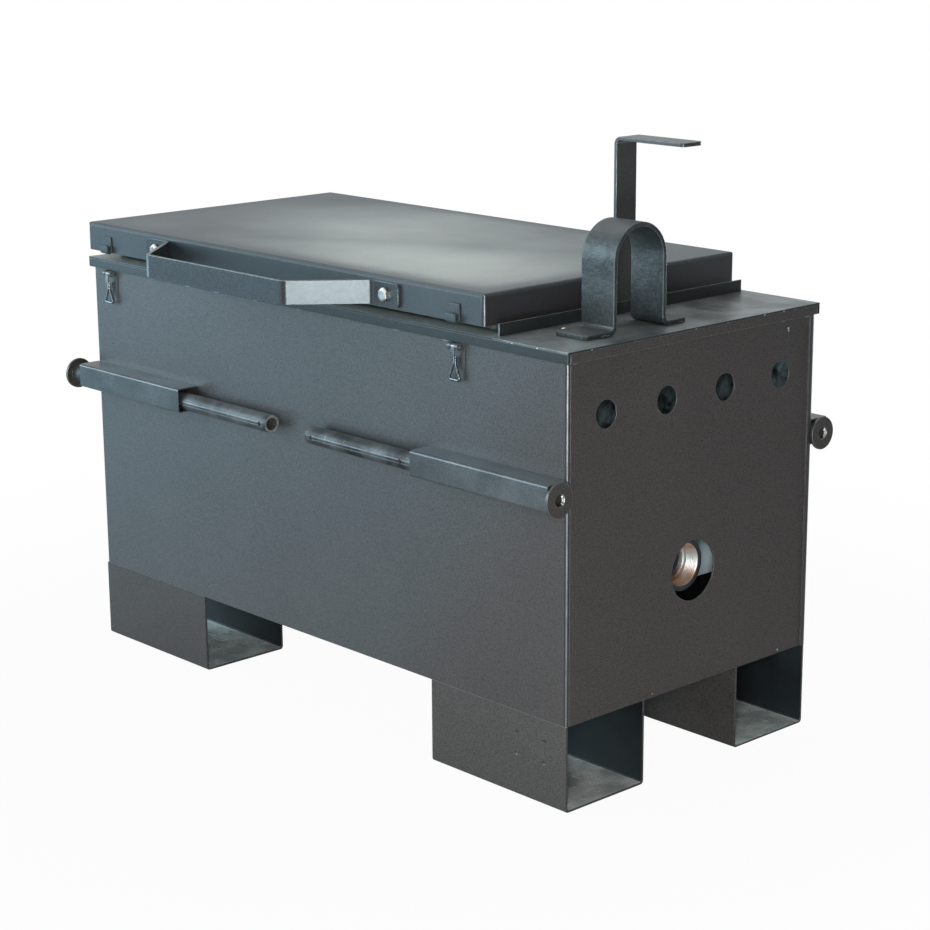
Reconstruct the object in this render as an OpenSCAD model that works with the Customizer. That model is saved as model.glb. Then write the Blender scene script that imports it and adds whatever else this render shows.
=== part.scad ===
/* [Body] */
// Length of the sheet steel box
body_l = 800; // [700:5:900]
// Depth of the box, front to rear
body_w = 374; // [340:2:420]
// Height of the top deck above the floor
deck_z = 475; // [440:5:520]
// Height of the box-section feet
foot_h = 92; // [70:1:110]
// Length of each foot along the box
foot_l = 200; // [150:5:240]
// Width of each foot
foot_w = 115; // [90:1:130]
// Thickness of the body sheet
sheet = 2; // [1.5:0.5:3]
// Thickness of the foot sheet
foot_t = 2.5; // [2:0.5:4]
// Outer radius of the folded sheet corners
fold_r = 4; // [3.5:0.5:6]

/* [Rim and deck] */
// How far the rim bar stands proud of the panels
rim_t = 4; // [3:0.5:6]
// Height of the rim including the top sheet
rim_h = 12; // [10:1:16]
// Length of the burner end that the deck plate covers
deck_l = 101; // [90:1:120]
// Height of the upturned edge of the deck plate
flange_h = 13; // [8:1:20]
// Thickness of the chamber lining
lining_t = 40; // [30:1:50]
// Thickness of the floor lining
floor_lining_t = 50; // [30:1:60]

/* [Lid] */
// Length of the lid
lid_l = 690.5; // [600:0.5:692]
// Depth of the lid
lid_w = 377; // [350:1:378]
// Height of the folded lid pan
lid_h = 33; // [28:1:45]
// Gap between the top sheet and the lid's lower edge
lid_gap = 9; // [8:0.5:12]
// Radius of the lid's folded edges
lid_r = 4.5; // [4:0.5:8]
// Distance from the middle of the lid to each hinge
hinge_x = 230; // [180:5:280]
// Distance from the middle of the lid to each latch
latch_x = 303.5; // [290:0.5:310]

/* [Handle] */
// Distance between the two bends at the lid
handle_span = 362; // [320:2:400]
// Length of the straight grip
grip_l = 240; // [200:2:280]
// Reach of the grip's face from the lid
handle_reach = 76; // [60:1:90]
// Width of the handle bar
handle_bar_w = 25; // [20:1:28]
// Thickness of the handle bar
handle_bar_t = 4; // [3:0.5:6]

/* [Carry rods] */
// Diameter of each carry rod
rod_d = 20; // [16:0.5:22]
// Bore of the carry rods
rod_bore = 14; // [8:0.5:14]
// Length of each carry rod
rod_l = 376; // [340:2:390]
// Length of the folded channel each rod slides in
channel_l = 200; // [150:5:220]
// Height of the channel
channel_h = 28; // [26:0.5:34]
// Depth of the channel
channel_d = 27.5; // [25:0.5:34]
// Height of the channel's lower edge above the floor
channel_z = 319; // [250:1:360]
// How far the front left rod stands pulled out
rod_out = 20; // [0:1:40]
// Diameter of the end washers
disc_d = 36; // [30:1:40]

/* [Burner end] */
// Diameter of the burner port
port_d = 65.5; // [62:0.5:75]
// Height of the burner port's centre
port_z = 217; // [180:1:250]
// Height of the burner socket's centre
socket_z = 220; // [190:1:240]
// Diameter of the cooling holes
vent_d = 29; // [20:0.5:35]
// Distance between cooling holes
vent_pitch = 88.5; // [70:0.5:95]
// Height of the row of cooling holes
vent_z = 405; // [380:1:430]

/* [Hose arch and hook] */
// Width of the arch strap
arch_w = 45; // [35:1:60]
// Thickness of the arch strap
arch_t = 5; // [4:0.5:6]
// Outer width of the arch
arch_d = 77; // [60:1:90]
// Height of the arch above the deck
arch_h = 109.5; // [80:0.5:130]
// Height of the hook above the deck
hook_h = 184; // [150:1:220]
// Length of the hook's arm
hook_arm = 95; // [70:1:110]
// Width of the hook bar
hook_w = 30; // [25:1:40]
// Thickness of the hook bar
hook_t = 4; // [3:0.5:6]

/* [Hidden] */
$fn = 48;
half_l = body_l / 2;
half_w = body_w / 2;
// The panels stop under the top sheet
panel_top = deck_z - sheet;
rim_z = deck_z - rim_h;
inner_l = half_l - sheet;
inner_w = half_w - sheet;
rim_x = half_l + rim_t;
rim_y = half_w + rim_t;
// The wall between the chamber and the burner end stands under the deck's upturned edge
deck_x = half_l - deck_l;
chamber_x0 = lining_t - inner_l;
chamber_x1 = deck_x - sheet - lining_t;
chamber_y = inner_w - lining_t;
chamber_z = foot_h + sheet + floor_lining_t;
// The rear panel laps round the ends by this much
lap = 8;
flange_in = 8;
plate_hole_in = [71, 31];
plate_hole_z = [45.5, 68.5];
plate_hole_r = 2;
floor_hole_at = [[142, 53], [147, 57]];
floor_hole_r = 1.5;

lid_x0 = 1 - rim_x;
lid_x1 = lid_x0 + lid_l;
lid_cx = (lid_x0 + lid_x1) / 2;
lid_y0 = -rim_y;
lid_y1 = lid_y0 + lid_w;
lid_z0 = deck_z + lid_gap;
lid_z1 = lid_z0 + lid_h;
// The lining stops just short of the pan, and the seal just short of the lining
lining_play = 0.5;
seal_play = 0.3;
seal_w = 14;
seal_offset = 5;

hinge_y = rim_y + 5.5;
hinge_z = deck_z + 5;
knuckle_r = 5.5;
hinge_pin_r = 3;
hinge_leaf_t = 3;
hinge_l = 60;
hinge_middle_l = 24;
hinge_leaf_drop = 18;
hinge_leaf_in = 6;
running_gap = 0.05;
side_gap = 0.5;

handle_r = 8;
handle_corner = 5;
// Flat faces on each bend of the handle
bend_steps = 6;
handle_lean = atan2(handle_reach - handle_bar_t, (handle_span - grip_l) / 2);
handle_foot_l = 40;
handle_z = lid_z0 + (lid_h - handle_bar_w) / 2 - 1.5;
bolt_d = 8;
bolt_head_d = 15;
bolt_head_h = 5.5;
nut_h = 6.5;
bolt_in = 20;
bolt_play = 0.25;
bolt_tail = 1.5;
handle_bolt_x = handle_span / 2 + bolt_in;

channel_t = 1.5;
channel_r = 3;
rod_y = half_w + channel_d / 2;
rod_play = 0.1;
rod_z = channel_z + channel_t + rod_d / 2 + rod_play;
disc_t = 3;
disc_hole = 13;
disc_gap = 1;
pin_hole_d = 5;
pin_hole_in = [10, 155];
// The rear rods' washers stand clear of the rear panel's lap
rear_out = sheet;

latch_base_w = 21;
latch_base_h = 38;
latch_base_t = 1.5;
latch_base_top = rim_z - 0.5;
latch_pin_y = -half_w - 6;
latch_pin_z = rim_z - 4;
latch_pin_r = 1.5;
latch_knuckle_r = 3.6;
latch_knuckle_l = 4.5;
latch_knuckle_x = 3;
tongue_w = 5;
tongue_t = 1.5;
tongue_drop = 11;
wire_r = 1.5;
wire_sides = 12;
neck_x = 1.6;
neck_drop = [9.5, 19];
loop_x = 7.5;
loop_drop = 34.5;
rivet_r = 2;
rivet_drop = [15, 31];
rivet_head_r = 3;
rivet_head_h = 0.8;
keeper_w = 15;
keeper_h = 16;
keeper_t = 2;
keeper_lip = 6;
keeper_rise = 3;
keeper_r = 1.8;

socket_r = 28.5;
socket_bore_r = 22.5;
tube_r = 21;
tube_bore_r = 18;
tube_play = 0.05;
socket_x1 = half_l - 14;
socket_l = 46;
socket_step = 20;
bracket_x = socket_x1 - socket_l;
bracket_half_y = 112;
bracket_z = [181, 252];

arch_y = -61;
arch_from_end = 68;
arch_x = half_l - arch_from_end;
arch_corner = 6;
arch_foot = [39, 29.5];
arch_bend = 4;
hook_bend = 4;
hook_corner = 6;

// Middle of the whole object, which the model is centred on
mid_x = (rear_out - rod_out) / 2;
mid_y = (disc_d / 2 + rod_y - handle_reach - rim_y) / 2;

coat = [0.30, 0.32, 0.34];
dark_coat = [0.20, 0.20, 0.21];
bright = [0.75, 0.76, 0.78];
fibre = [0.86, 0.84, 0.78];

// A box given by its lowest and highest corners
module block(low, high) {
    translate(low) cube(high - low);
}

// A rectangle whose two upper corners are round
module round_top(a0, a1, h0, h1, r) {
    translate([a0, h0]) square([a1 - a0, h1 - h0 - r]);
    translate([a0 + r, h0]) square([a1 - a0 - 2 * r, h1 - h0]);
    for (a = [a0 + r, a1 - r])
        translate([a, h1 - r]) circle(r);
}

// Runs a profile drawn in depth and height along the length
module along_x(x0, x1) {
    translate([x0, 0, 0]) rotate([90, 0, 90]) linear_extrude(x1 - x0) children();
}

// A cylinder along the length
module round_x(x0, x1, r) {
    translate([x0, 0, 0]) rotate([0, 90, 0]) cylinder(r = r, h = x1 - x0);
}

// A cylinder along the depth
module round_y(y0, y1, r) {
    translate([0, y0, 0]) rotate([-90, 0, 0]) cylinder(r = r, h = y1 - y0);
}

// The direction of a wire at one of its points, halfway round the bend there
function wire_way(points, i) =
    let (before = points[i] - points[max(i - 1, 0)])
    let (after = points[min(i + 1, len(points) - 1)] - points[i])
    let (a = i == 0 ? after : before, b = i == len(points) - 1 ? before : after)
    a / norm(a) + b / norm(b);

// A round wire bent in an upright plane, as mitred rings through a list of points
module wire(points, r) {
    last = len(points) - 1;
    spokes = [for (k = [0:wire_sides - 1]) 360 * k / wire_sides];
    rings = [for (i = [0:last])
        let (way = wire_way(points, i), half = norm(way))
        let (side = [way.z, 0, -way.x] / half * 2 / half)
        for (a = spokes) points[i] + r * (cos(a) * side + sin(a) * [0, 1, 0])];
    skin = [for (i = [0:last - 1], k = [0:wire_sides - 1])
        let (a = i * wire_sides + k, b = i * wire_sides + (k + 1) % wire_sides)
        each [[a, b, b + wire_sides], [a, b + wire_sides, a + wire_sides]]];
    caps = [
        [for (k = [wire_sides - 1:-1:0]) k],
        [for (k = [0:wire_sides - 1]) last * wire_sides + k]
    ];
    polyhedron(rings, concat(skin, caps));
}

// A flat bar bent in steps of [straight run, turn to the left, inner radius]
module bent_bar(steps, t, w, i = 0) {
    run = steps[i][0];
    turn = steps[i][1];
    r = steps[i][2];
    side = turn > 0 ? r + t : r;
    cube([run, t, w]);
    if (turn > 0)
        translate([run, t + r, 0]) rotate(-90) rotate_extrude(angle = turn)
            translate([r, 0]) square([t, w]);
    if (turn < 0)
        translate([run, -r, 0]) rotate(90 + turn) rotate_extrude(angle = -turn)
            translate([r, 0]) square([t, w]);
    if (i + 1 < len(steps))
        translate([run + side * sin(abs(turn)), sign(turn) * side * (1 - cos(turn)), 0])
            rotate(turn) bent_bar(steps, t, w, i + 1);
}

// One side of a strip bent at any angle, in the same steps as a bent bar
function strip_side(steps, t, off, i = 0, at = [0, 0], dir = 0) =
    i == len(steps) ? [] :
    let (turn = steps[i][1], r = steps[i][2], bend_side = sign(turn))
    let (ahead = [cos(dir), sin(dir)], left = [-sin(dir), cos(dir)])
    let (end = at + steps[i][0] * ahead)
    let (middle = end + (turn > 0 ? t + r : -r) * left)
    let (reach = turn > 0 ? t + r : r, here = turn > 0 ? reach - off : reach + off)
    let (spokes = [for (k = [1:bend_steps]) dir + turn * k / bend_steps])
    let (arc = [for (a = spokes) middle - bend_side * here * [-sin(a), cos(a)]])
    let (next = middle - bend_side * reach * [-sin(dir + turn), cos(dir + turn)])
    concat(
        i == 0 ? [at + off * left] : [],
        [end + off * left],
        turn == 0 ? [] : arc,
        strip_side(steps, t, off, i + 1, next, dir + turn)
    );

// Takes the two sharp corners off a bar that starts at the origin
module end_trim(t, w, r) {
    for (top = [0, 1])
        translate([0, 0, top * w]) mirror([0, 0, top]) difference() {
            block([-1, -1, -1], [r, t + 1, r]);
            translate([r, 0, r]) round_y(-2, t + 2, r);
        }
}

// A sheet seen from above, folded round both of its ends
module folded_sheet(half_x, back) {
    translate([fold_r - half_x, -half_w]) square([2 * (half_x - fold_r), sheet]);
    for (m = [0, 1])
        mirror([m, 0]) {
            translate([half_x - fold_r, fold_r - half_w]) intersection() {
                difference() {
                    circle(fold_r);
                    circle(fold_r - sheet);
                }
                translate([0, -fold_r]) square(fold_r);
            }
            if (back > fold_r)
                translate([half_x - sheet, fold_r - half_w]) square([sheet, back - fold_r]);
        }
}

// A block with round upper edges and round upright corners
module soft_block(low, high, r) {
    intersection() {
        along_x(low.x, high.x) round_top(low.y, high.y, low.z, high.z, r);
        translate([0, high.y, 0]) rotate([90, 0, 0]) linear_extrude(high.y - low.y)
            round_top(low.x, high.x, low.z, high.z, r);
        translate([0, 0, low.z]) linear_extrude(high.z - low.z) {
            round_top(low.x, high.x, (low.y + high.y) / 2, high.y, r);
            mirror([0, 1]) round_top(low.x, high.x, -(low.y + high.y) / 2, -low.y, r);
        }
    }
}

// A slab whose two front corners clear the inside of the folds
module clear_slab(low, high) {
    cut = fold_r - sheet;
    translate([0, 0, low.z]) linear_extrude(high.z - low.z) polygon([
        [low.x, low.y + cut], [low.x + cut, low.y], [high.x - cut, low.y],
        [high.x, low.y + cut], [high.x, high.y], [low.x, high.y]
    ]);
}

module front_panel() {
    color(coat) translate([0, 0, foot_h]) linear_extrude(panel_top - foot_h)
        folded_sheet(half_l, 0);
}

module rear_panel() {
    color(coat) mirror([0, 1, 0]) translate([0, 0, foot_h]) {
        linear_extrude(rim_z - foot_h) folded_sheet(half_l + sheet, lap);
        block([-half_l, -half_w, 0], [half_l, -inner_w, panel_top - foot_h]);
    }
}

module left_end_panel() {
    color(coat) block([-half_l, fold_r - half_w, foot_h], [-inner_l, half_w - fold_r, panel_top]);
}

module right_end_panel() {
    color(dark_coat) difference() {
        block([inner_l, fold_r - half_w, foot_h], [half_l, half_w - fold_r, panel_top]);
        translate([0, 0, port_z]) round_x(inner_l - 1, half_l + 1, port_d / 2);
        for (i = [-1.5:1.5])
            translate([0, i * vent_pitch, vent_z]) round_x(inner_l - 1, half_l + 1, vent_d / 2);
    }
}

module floor_panel() {
    color(coat) clear_slab([-inner_l, -inner_w, foot_h], [inner_l, inner_w, foot_h + sheet]);
}

module bulkhead() {
    color(dark_coat) difference() {
        block([deck_x - sheet, -inner_w, foot_h + sheet], [deck_x, inner_w, panel_top]);
        translate([0, 0, socket_z]) round_x(deck_x - 2 * sheet, deck_x + sheet, tube_r + tube_play);
    }
}

// A flat bar along the front or rear of the rim
module long_rim() {
    color(coat) block([-rim_x, -rim_y, rim_z], [rim_x, -half_w, panel_top]);
}

// A flat bar across one end of the rim
module short_rim() {
    color(coat) block([half_l, -half_w, rim_z], [rim_x, half_w, panel_top]);
}

module rim_front() long_rim();
module rim_rear() mirror([0, 1, 0]) long_rim();
module rim_right() short_rim();
module rim_left() mirror([1, 0, 0]) short_rim();

module top_ledge() {
    color(coat) difference() {
        block([-rim_x, -rim_y, panel_top], [deck_x, rim_y, deck_z]);
        block([chamber_x0, -chamber_y, panel_top - 1], [chamber_x1, chamber_y, deck_z + 1]);
    }
}

module end_deck() {
    color(dark_coat) {
        block([deck_x, -rim_y, panel_top], [rim_x, rim_y, deck_z]);
        block([deck_x, flange_in - rim_y, deck_z], [deck_x + sheet, rim_y - flange_in, deck_z + flange_h]);
    }
}

// An open-ended folded foot under one corner, with its plate holes or without
module foot(wall_holes = false, floor_holes = false) {
    color(dark_coat) difference() {
        along_x(half_l - foot_l, half_l) mirror([0, 1]) difference() {
            round_top(-half_w, foot_w - half_w, -foot_h, 0, fold_r);
            round_top(foot_t - half_w, foot_w - foot_t - half_w, -foot_h - 1, -foot_t, fold_r - 2);
        }
        if (wall_holes)
            for (in = plate_hole_in, z = plate_hole_z)
                translate([half_l - in, 0, z]) round_y(-half_w - 1, foot_t + 1 - half_w, plate_hole_r);
        if (floor_holes)
            for (at = floor_hole_at)
                translate([half_l - at[0], at[1] - half_w, -1]) cylinder(r = floor_hole_r, h = foot_t + 2);
    }
}

module foot_front_right() foot(wall_holes = true);
module foot_front_left() mirror([1, 0, 0]) foot(floor_holes = true);
module foot_rear_right() mirror([0, 1, 0]) foot();
module foot_rear_left() rotate(180) foot();

module floor_lining() {
    color(fibre) clear_slab([-inner_l, -inner_w, foot_h + sheet], [deck_x - sheet, inner_w, chamber_z]);
}

// A lining slab along the front or rear wall
module side_lining() {
    color(fibre) clear_slab([-inner_l, -inner_w, chamber_z], [deck_x - sheet, -chamber_y, panel_top]);
}

module front_lining() side_lining();
module rear_lining() mirror([0, 1, 0]) side_lining();

module left_lining() {
    color(fibre) block([-inner_l, -chamber_y, chamber_z], [chamber_x0, chamber_y, panel_top]);
}

module right_lining() {
    color(fibre) difference() {
        block([chamber_x1, -chamber_y, chamber_z], [deck_x - sheet, chamber_y, panel_top]);
        translate([0, 0, socket_z]) round_x(chamber_x1 - 1, deck_x, tube_r + tube_play);
    }
}

// Four butted lengths of square rope round the chamber mouth
module lid_seal() {
    x0 = chamber_x0 - seal_offset;
    x1 = chamber_x1 + seal_offset;
    y = chamber_y + seal_offset;
    top = lid_z0 - seal_play;
    color(fibre) {
        for (m = [0, 1])
            mirror([0, m, 0]) block([x0 - seal_w, y, deck_z], [x1 + seal_w, y + seal_w, top]);
        block([x0 - seal_w, -y + seal_play, deck_z], [x0, y - seal_play, top]);
        block([x1, -y + seal_play, deck_z], [x1 + seal_w, y - seal_play, top]);
    }
}

module lid_shell() {
    color(coat) difference() {
        soft_block([lid_x0, lid_y0, lid_z0], [lid_x1, lid_y1, lid_z1], lid_r);
        soft_block([lid_x0 + sheet, lid_y0 + sheet, lid_z0 - 1],
            [lid_x1 - sheet, lid_y1 - sheet, lid_z1 - sheet], lid_r - sheet);
        handle_holes(lid_y0 - 1, lid_y0 + sheet + 1, bolt_d / 2 + bolt_play);
    }
}

// The two bolt positions on the front of the lid
module handle_holes(y0, y1, r) {
    for (side = [-1, 1])
        translate([lid_cx + side * handle_bolt_x, 0, handle_z + handle_bar_w / 2]) round_y(y0, y1, r);
}

module lid_lining() {
    gap = sheet + lining_play;
    color(fibre) difference() {
        soft_block([lid_x0 + gap, lid_y0 + gap, lid_z0],
            [lid_x1 - gap, lid_y1 - gap, lid_z1 - gap], lid_r - sheet);
        handle_holes(lid_y0, lid_y0 + 4 * gap, bolt_d);
    }
}

module lid_handle() {
    bend = handle_r * tan(handle_lean / 2);
    outer_bend = (handle_r + handle_bar_t) * tan(handle_lean / 2);
    leg = norm([(handle_span - grip_l) / 2, handle_reach - handle_bar_t]) - bend - outer_bend;
    steps = [
        [handle_foot_l - bend, -handle_lean, handle_r],
        [leg, handle_lean, handle_r],
        [grip_l - 2 * outer_bend, handle_lean, handle_r],
        [leg, -handle_lean, handle_r],
        [handle_foot_l - bend, 0, 0]
    ];
    near = strip_side(steps, handle_bar_t, 0);
    far = strip_side(steps, handle_bar_t, handle_bar_t);
    start = [lid_cx - handle_span / 2 - handle_foot_l, lid_y0 - handle_bar_t, handle_z];
    color(coat) difference() {
        translate(start) linear_extrude(handle_bar_w)
            polygon(concat(near, [for (i = [len(far) - 1:-1:0]) far[i]]));
        translate(start) end_trim(handle_bar_t, handle_bar_w, handle_corner);
        translate([2 * lid_cx, 0, 0]) mirror([1, 0, 0]) translate(start)
            end_trim(handle_bar_t, handle_bar_w, handle_corner);
        handle_holes(lid_y0 - handle_bar_t - 1, lid_y0 + 1, bolt_d / 2 + bolt_play);
    }
}

module handle_bolts() {
    head_y = lid_y0 - handle_bar_t;
    color(bright) {
        handle_holes(head_y, lid_y0 + sheet + nut_h + bolt_tail, bolt_d / 2);
        for (side = [-1, 1])
            translate([lid_cx + side * handle_bolt_x, head_y, handle_z + handle_bar_w / 2])
                rotate([90, 30, 0]) cylinder(d = bolt_head_d, h = bolt_head_h, $fn = 6);
    }
}

module handle_nuts() {
    color(bright) difference() {
        for (side = [-1, 1])
            translate([lid_cx + side * handle_bolt_x, lid_y0 + sheet, handle_z + handle_bar_w / 2])
                rotate([-90, 0, 0]) cylinder(d = bolt_head_d, h = nut_h, $fn = 6);
        handle_holes(lid_y0, lid_y0 + sheet + nut_h + 1, bolt_d / 2 + running_gap);
    }
}

// An upward hook on the lid that the wire loop drops into
module keeper(x) {
    steps = [
        [keeper_h, 180, keeper_r],
        [keeper_lip, 0, 0]
    ];
    color(coat) translate([x - keeper_w / 2, lid_y0, lid_z0 + keeper_rise + keeper_h])
        rotate([0, 90, 0]) mirror([0, 1, 0]) bent_bar(steps, keeper_t, keeper_w);
}

module keeper_left() keeper(lid_cx - latch_x);
module keeper_right() keeper(lid_cx + latch_x);

// Puts a hinge shape at both hinge places
module at_hinges() {
    for (side = [-1, 1])
        translate([lid_cx + side * hinge_x, 0, 0]) children();
}

module hinge_body_leaves() {
    half = hinge_l / 2;
    middle = hinge_middle_l / 2 + side_gap;
    color(dark_coat) at_hinges() difference() {
        union() {
            block([-half, rim_y, rim_z - hinge_leaf_drop], [half, rim_y + hinge_leaf_t, deck_z - 1]);
            for (m = [0, 1])
                mirror([m, 0, 0]) {
                    block([middle, rim_y, deck_z - 2], [half, rim_y + hinge_leaf_t, hinge_z]);
                    translate([0, hinge_y, hinge_z]) round_x(middle, half, knuckle_r);
                }
        }
        translate([0, hinge_y, hinge_z]) round_x(-half - 1, half + 1, hinge_pin_r);
    }
}

module hinge_lid_leaves() {
    half = hinge_l / 2;
    middle = hinge_middle_l / 2;
    leaf_z = lid_z0 + 2;
    color(dark_coat) at_hinges() difference() {
        union() {
            block([-half, lid_y1, leaf_z], [half, lid_y1 + hinge_leaf_t, lid_z1 - hinge_leaf_in]);
            block([-middle, lid_y1, hinge_z + 2], [middle, hinge_y, hinge_z + knuckle_r]);
            block([-middle, lid_y1, hinge_z + knuckle_r - 1], [middle, lid_y1 + hinge_leaf_t, leaf_z + 1]);
            translate([0, hinge_y, hinge_z]) round_x(-middle, middle, knuckle_r);
        }
        translate([0, hinge_y, hinge_z]) round_x(-half, half, hinge_pin_r + running_gap);
    }
}

module hinge_pins() {
    color(bright) at_hinges() translate([0, hinge_y, hinge_z])
        round_x(-hinge_l / 2 - 2, hinge_l / 2 + 2, hinge_pin_r);
}

// A riveted plate with two rolled knuckles for the latch pin
module latch_base(x) {
    color(coat) translate([x, 0, 0]) difference() {
        union() {
            block([-latch_base_w / 2, -half_w - latch_base_t, latch_base_top - latch_base_h],
                [latch_base_w / 2, -half_w, latch_base_top]);
            for (m = [0, 1])
                mirror([m, 0, 0]) {
                    translate([0, latch_pin_y, latch_pin_z])
                        round_x(latch_knuckle_x, latch_knuckle_x + latch_knuckle_l, latch_knuckle_r);
                    block([latch_knuckle_x, latch_pin_y, latch_pin_z + 1],
                        [latch_knuckle_x + latch_knuckle_l, -half_w, latch_pin_z + latch_knuckle_r - 0.2]);
                }
        }
        translate([0, latch_pin_y, latch_pin_z]) round_x(-latch_base_w, latch_base_w, latch_pin_r);
        for (drop = rivet_drop)
            translate([0, 0, latch_pin_z - drop]) round_y(-half_w - 3, -half_w + 1, rivet_r);
    }
}

// The plate that is rolled round the pin and grips the wire's neck
module latch_tongue(x) {
    color(bright) translate([x, latch_pin_y, latch_pin_z]) difference() {
        union() {
            round_x(-tongue_w / 2, tongue_w / 2, latch_pin_r + tongue_t);
            block([-tongue_w / 2, -latch_pin_r - tongue_t, -tongue_drop], [tongue_w / 2, -latch_pin_r, 0]);
        }
        round_x(-tongue_w, tongue_w, latch_pin_r + running_gap);
    }
}

// One bent wire: two legs side by side that spread to a three-cornered loop
module latch_bail(x) {
    half = [
        [neck_x, 0, -neck_drop[0]],
        [neck_x, 0, -neck_drop[1]],
        [loop_x, 0, 2 - loop_drop],
        [loop_x - 2, 0, -loop_drop]
    ];
    other = [for (i = [len(half) - 1:-1:0]) [-half[i].x, 0, half[i].z]];
    color(bright) translate([x, latch_pin_y - latch_pin_r + wire_r, latch_pin_z])
        wire(concat(half, other), wire_r);
}

module latch_base_left() latch_base(lid_cx - latch_x);
module latch_base_right() latch_base(lid_cx + latch_x);
module latch_tongue_left() latch_tongue(lid_cx - latch_x);
module latch_tongue_right() latch_tongue(lid_cx + latch_x);
module latch_bail_left() latch_bail(lid_cx - latch_x);
module latch_bail_right() latch_bail(lid_cx + latch_x);

module latch_pins() {
    reach = latch_knuckle_x + latch_knuckle_l + 0.8;
    color(bright) for (side = [-1, 1])
        translate([lid_cx + side * latch_x, latch_pin_y, latch_pin_z]) round_x(-reach, reach, latch_pin_r);
}

module latch_rivets() {
    color(bright) for (side = [-1, 1], drop = rivet_drop)
        translate([lid_cx + side * latch_x, 0, latch_pin_z - drop]) {
            round_y(-half_w - latch_base_t, -half_w, rivet_r);
            round_y(-half_w - latch_base_t - rivet_head_h, -half_w - latch_base_t, rivet_head_r);
        }
}

// A folded channel, open towards the panel, for the front right rod
module channel() {
    color(coat) along_x(half_l - channel_l, half_l) rotate(90) difference() {
        round_top(channel_z, channel_z + channel_h, half_w, half_w + channel_d, channel_r);
        round_top(channel_z + channel_t, channel_z + channel_h - channel_t,
            half_w - 1, half_w + channel_d - channel_t, channel_r - channel_t);
    }
}

module channel_front_right() channel();
module channel_front_left() mirror([1, 0, 0]) channel();
module channel_rear_right() mirror([0, 1, 0]) channel();
module channel_rear_left() rotate(180) channel();

// A tube with its pin holes, pulled out of its channel by some way
module carry_rod(out = 0) {
    x1 = half_l + disc_gap + out;
    x0 = x1 - rod_l;
    color(dark_coat) translate([0, -rod_y, rod_z]) difference() {
        round_x(x0, x1, rod_d / 2);
        round_x(x0 - 1, x1 + 1, rod_bore / 2);
        for (hole = pin_hole_in)
            translate([x0 + hole, 0, 0]) round_y(-rod_d, rod_d, pin_hole_d / 2);
    }
}

// The washer that is welded to a rod's outer end
module rod_disc(out = 0) {
    x0 = half_l + disc_gap + out;
    color(dark_coat) translate([0, -rod_y, rod_z]) difference() {
        round_x(x0, x0 + disc_t, disc_d / 2);
        round_x(x0 - 1, x0 + disc_t + 1, disc_hole / 2);
    }
}

module rod_front_right() carry_rod();
module rod_front_left() mirror([1, 0, 0]) carry_rod(rod_out);
module rod_rear_right() mirror([0, 1, 0]) carry_rod(rear_out);
module rod_rear_left() rotate(180) carry_rod(rear_out);
module disc_front_right() rod_disc();
module disc_front_left() mirror([1, 0, 0]) rod_disc(rod_out);
module disc_rear_right() mirror([0, 1, 0]) rod_disc(rear_out);
module disc_rear_left() rotate(180) rod_disc(rear_out);

// A bent strap that stands on the deck like a horseshoe
module hose_arch() {
    outer_bend = arch_bend + arch_t;
    rise = arch_h - arch_d / 2 - outer_bend;
    steps = [
        [arch_foot[0] - arch_bend, 90, arch_bend],
        [rise, -180, arch_d / 2 - arch_t],
        [rise, 90, arch_bend],
        [arch_foot[1] - arch_bend, 0, 0]
    ];
    color(dark_coat) translate([arch_x + arch_w, arch_y - arch_d / 2 - arch_foot[0], deck_z])
        rotate([90, 0, 90]) mirror([0, 0, 1]) difference() {
            bent_bar(steps, arch_t, arch_w);
            end_trim(arch_t, arch_w, arch_corner);
        }
}

// A flat bar that stands behind the deck's upturned edge and bends over the deck
module hose_hook() {
    steps = [
        [hook_h - hook_bend - hook_t, -90, hook_bend],
        [hook_arm - hook_bend - hook_t, 0, 0]
    ];
    color(dark_coat) difference() {
        translate([deck_x, hook_w / 2, deck_z]) rotate([90, -90, 0]) bent_bar(steps, hook_t, hook_w);
        for (side = [0, 1])
            mirror([0, side, 0]) translate([deck_x - hook_t + hook_arm, -hook_w / 2, deck_z])
                difference() {
                    block([-hook_corner, -1, hook_h - 2 * hook_t], [1, hook_corner, hook_h + 1]);
                    translate([-hook_corner, hook_corner, hook_h - 3 * hook_t])
                        cylinder(r = hook_corner, h = 4 * hook_t);
                }
    }
}

// A reducing pipe socket, wide thread outwards
module burner_socket() {
    color(bright) translate([0, 0, socket_z]) difference() {
        round_x(bracket_x, socket_x1, socket_r);
        round_x(socket_x1 - socket_step, socket_x1 + 1, socket_bore_r);
        round_x(bracket_x - 1, socket_x1, tube_r + tube_play);
    }
}

module burner_tube() {
    color(bright) translate([0, 0, socket_z]) difference() {
        round_x(chamber_x1, socket_x1 - socket_step - 2, tube_r);
        round_x(chamber_x1 - 1, socket_x1, tube_bore_r);
    }
}

// A folded sheet bracket that carries the socket off the inner wall
module burner_bracket() {
    bend = 2;
    depth = bracket_x - deck_x - bend - sheet;
    steps = [
        [depth, 90, bend],
        [2 * (bracket_half_y - bend - sheet), 90, bend],
        [depth, 0, 0]
    ];
    color([0.66, 0.72, 0.76]) difference() {
        translate([deck_x, -bracket_half_y, bracket_z[0]])
            bent_bar(steps, sheet, bracket_z[1] - bracket_z[0]);
        translate([0, 0, socket_z]) round_x(deck_x, bracket_x + 1, tube_r + tube_play);
    }
}

// Sets the middle of the object's footprint on the origin
module centred() {
    translate([-mid_x, -mid_y, 0]) children();
}

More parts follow.
